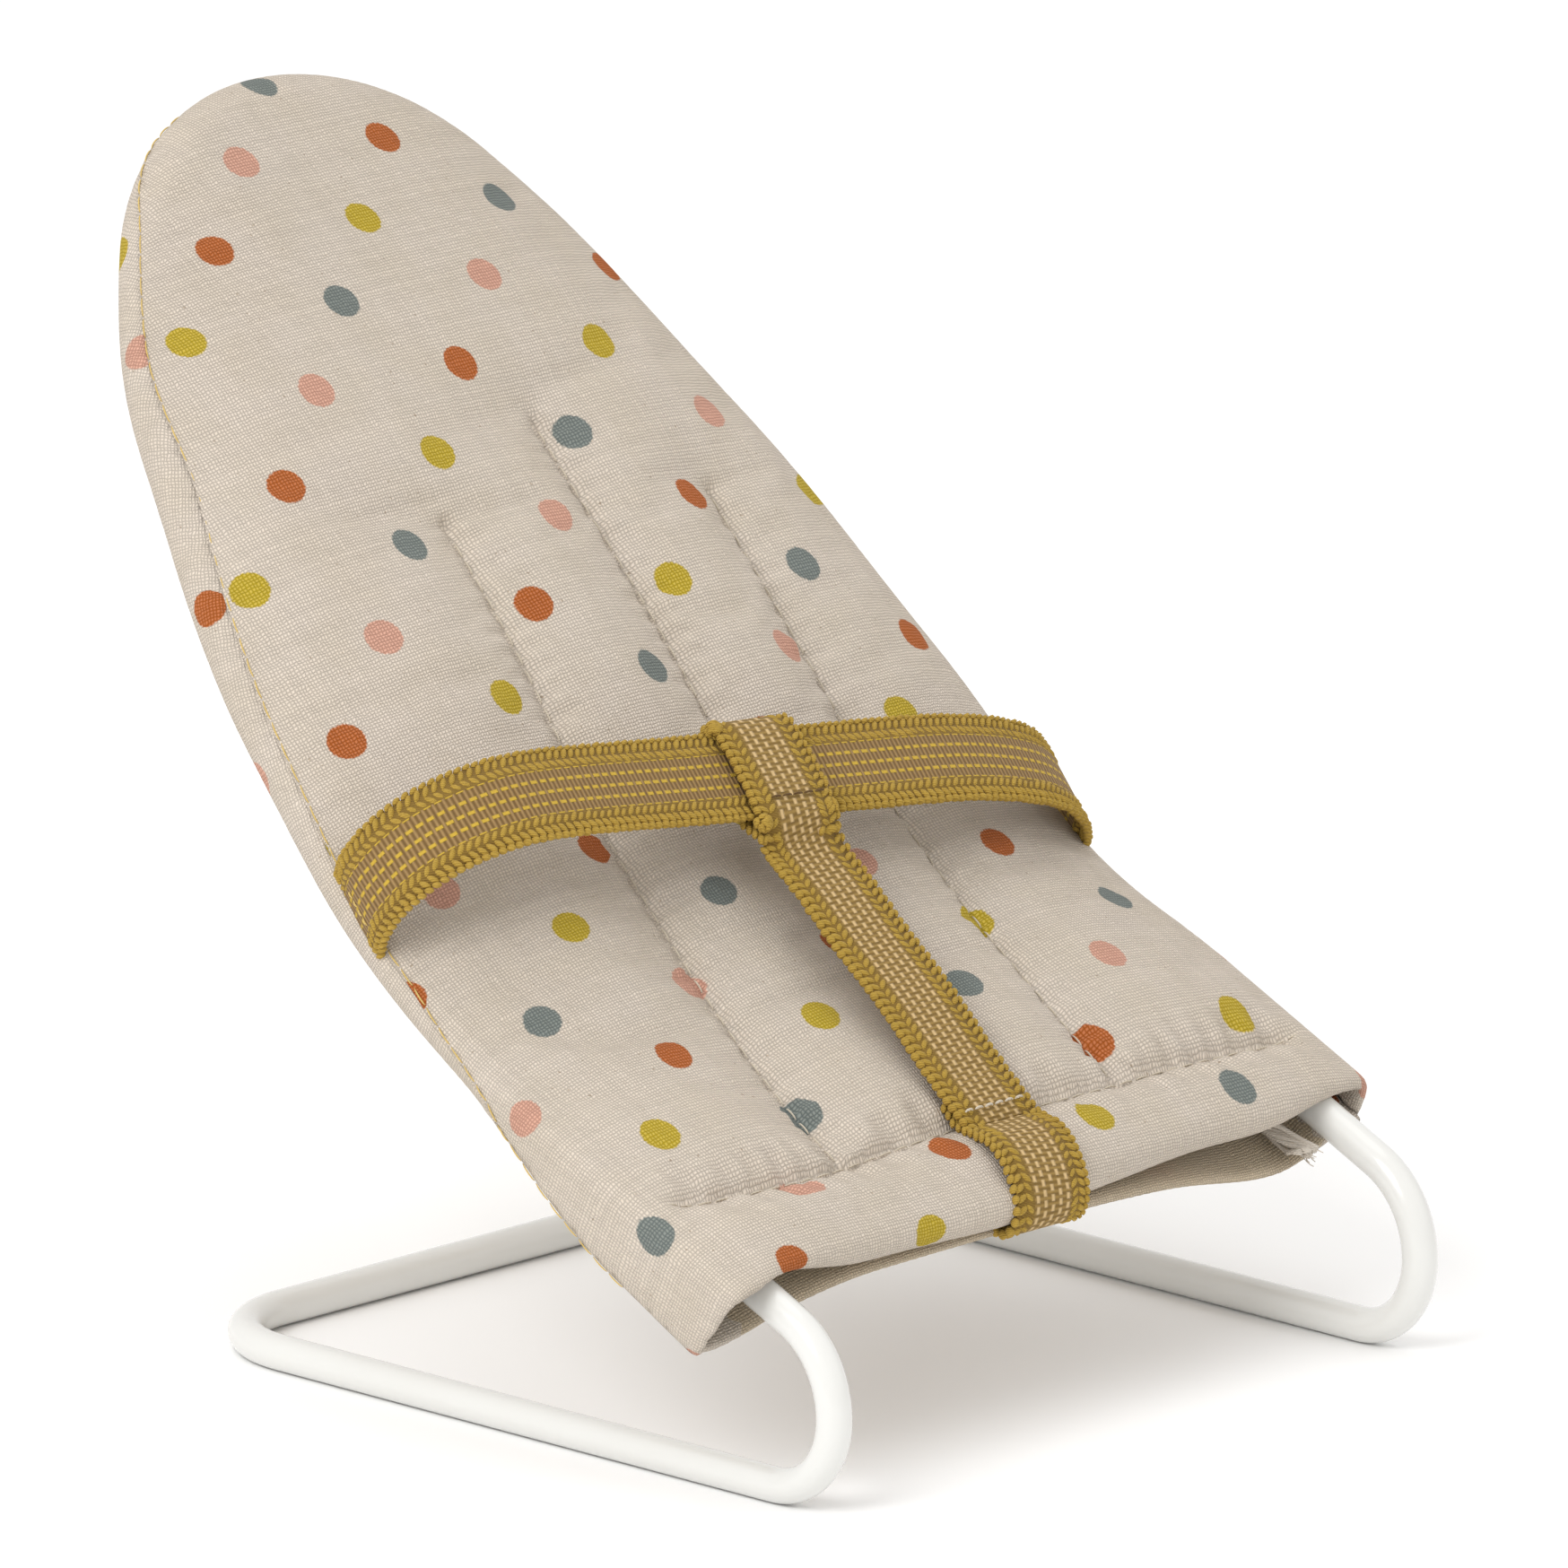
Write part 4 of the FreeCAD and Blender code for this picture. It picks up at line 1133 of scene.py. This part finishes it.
def make_fray():
    """The frayed seam allowance that sticks out under the hem's right end."""
    rng = random.Random(9)
    low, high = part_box("seam_allowance_end")
    low, high = np.array(low) / MM, np.array(high) / MM
    middle = (low + high) / 2
    tip = np.array([middle[0] + 1.4, low[1] - 1.8, low[2] + 0.1])
    root = np.array([middle[0] + 0.2, high[1] + 1.0, high[2] - 1.3])
    heading = tip - root
    length = np.linalg.norm(heading)
    heading /= length
    side = np.cross(heading, (0, 0, 1))
    side /= np.linalg.norm(side)
    rise = np.cross(side, heading)
    parts = []
    for number in range(STRANDS):
        fine = number >= COARSE_STRANDS
        turn = rng.uniform(0, 2 * math.pi)
        spread = (0.4 if number % 2 else 1.0) * rng.uniform(0.8, 1.2)
        reach = length * rng.uniform(0.85, 1.0) + (rng.uniform(0.2, 1.2) if fine else 0)
        share = np.linspace(0, 1, 16)
        angle = turn + 2.6 * share + 0.3 * np.sin(share * rng.uniform(5, 9))
        wide = spread * (1 + 0.25 * np.sin(share * 6 + turn)) * (1 - 0.45 * share ** 3)
        if fine:
            wide = wide * (1 + 1.1 * share ** 4)
        path = (root + heading * (share * reach)[:, None]
                + side * (FLATTENED * wide * np.cos(angle))[:, None]
                + rise * (wide * np.sin(angle))[:, None])
        parts.append(tube_rings(path, FINE_RADIUS if fine else COARSE_RADIUS, 6))
    points, faces = merge(parts)
    fray = make_object("frayed_allowance", points, faces, [FRAY_THREAD])
    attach(fray, "seat")
    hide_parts("seam_allowance_end")


make_wire()
make_cover()
make_seams()
make_straps()
make_fray()

# ---------- floor, lights and camera

TARGET = Vector((0, -16.19, 63.75)) * MM
CAMERA_SIDE, CAMERA_RISE = -45.41, 15.08        # degrees
CAMERA_DISTANCE, VIEW_WIDTH = 7.0, 0.1714
# The lamps: name, azimuth, elevation, distance, size and power.
LAMPS = (("key", -80, 38, 0.9, 0.5, 3.4), ("fill", 35, 35, 1.0, 0.9, 0.4),
         ("top", 160, 75, 1.0, 0.8, 1.5))

def look_from(item, azimuth, elevation, distance):
    """Puts a lamp or camera at a distance from the object and turns it towards it."""
    a, e = math.radians(azimuth), math.radians(elevation)
    away = Vector((math.sin(a) * math.cos(e), -math.cos(a) * math.cos(e), math.sin(e)))
    item.location = TARGET + away * distance
    item.rotation_euler = (TARGET - item.location).to_track_quat("-Z", "Y").to_euler()


def make_stage():
    """A pale floor, soft studio lights and the camera."""
    bpy.ops.mesh.primitive_plane_add(size=6.0)
    ground = bpy.context.object
    ground.name = "floor"
    ground.data.materials.append(FLOOR_PAINT)
    world = bpy.data.worlds.new("studio")
    world.use_nodes = True
    world.node_tree.nodes["Background"].inputs[0].default_value = (1, 0.99, 0.98, 1)
    world.node_tree.nodes["Background"].inputs[1].default_value = 0.92
    bpy.context.scene.world = world
    for name, azimuth, elevation, distance, size, power in LAMPS:
        light = bpy.data.lights.new(name, "AREA")
        light.shape = "DISK"
        light.size = size
        light.energy = power
        look_from(add_object(name, light), azimuth, elevation, distance)
    camera = bpy.data.cameras.new("camera")
    camera.sensor_width = 36
    camera.lens = camera.sensor_width * CAMERA_DISTANCE / VIEW_WIDTH
    camera.clip_start, camera.clip_end = 0.05, 40
    eye = add_object("camera", camera)
    look_from(eye, CAMERA_SIDE, CAMERA_RISE, CAMERA_DISTANCE)
    bpy.context.scene.camera = eye
    bpy.context.scene.view_settings.view_transform = "Standard"


make_stage()
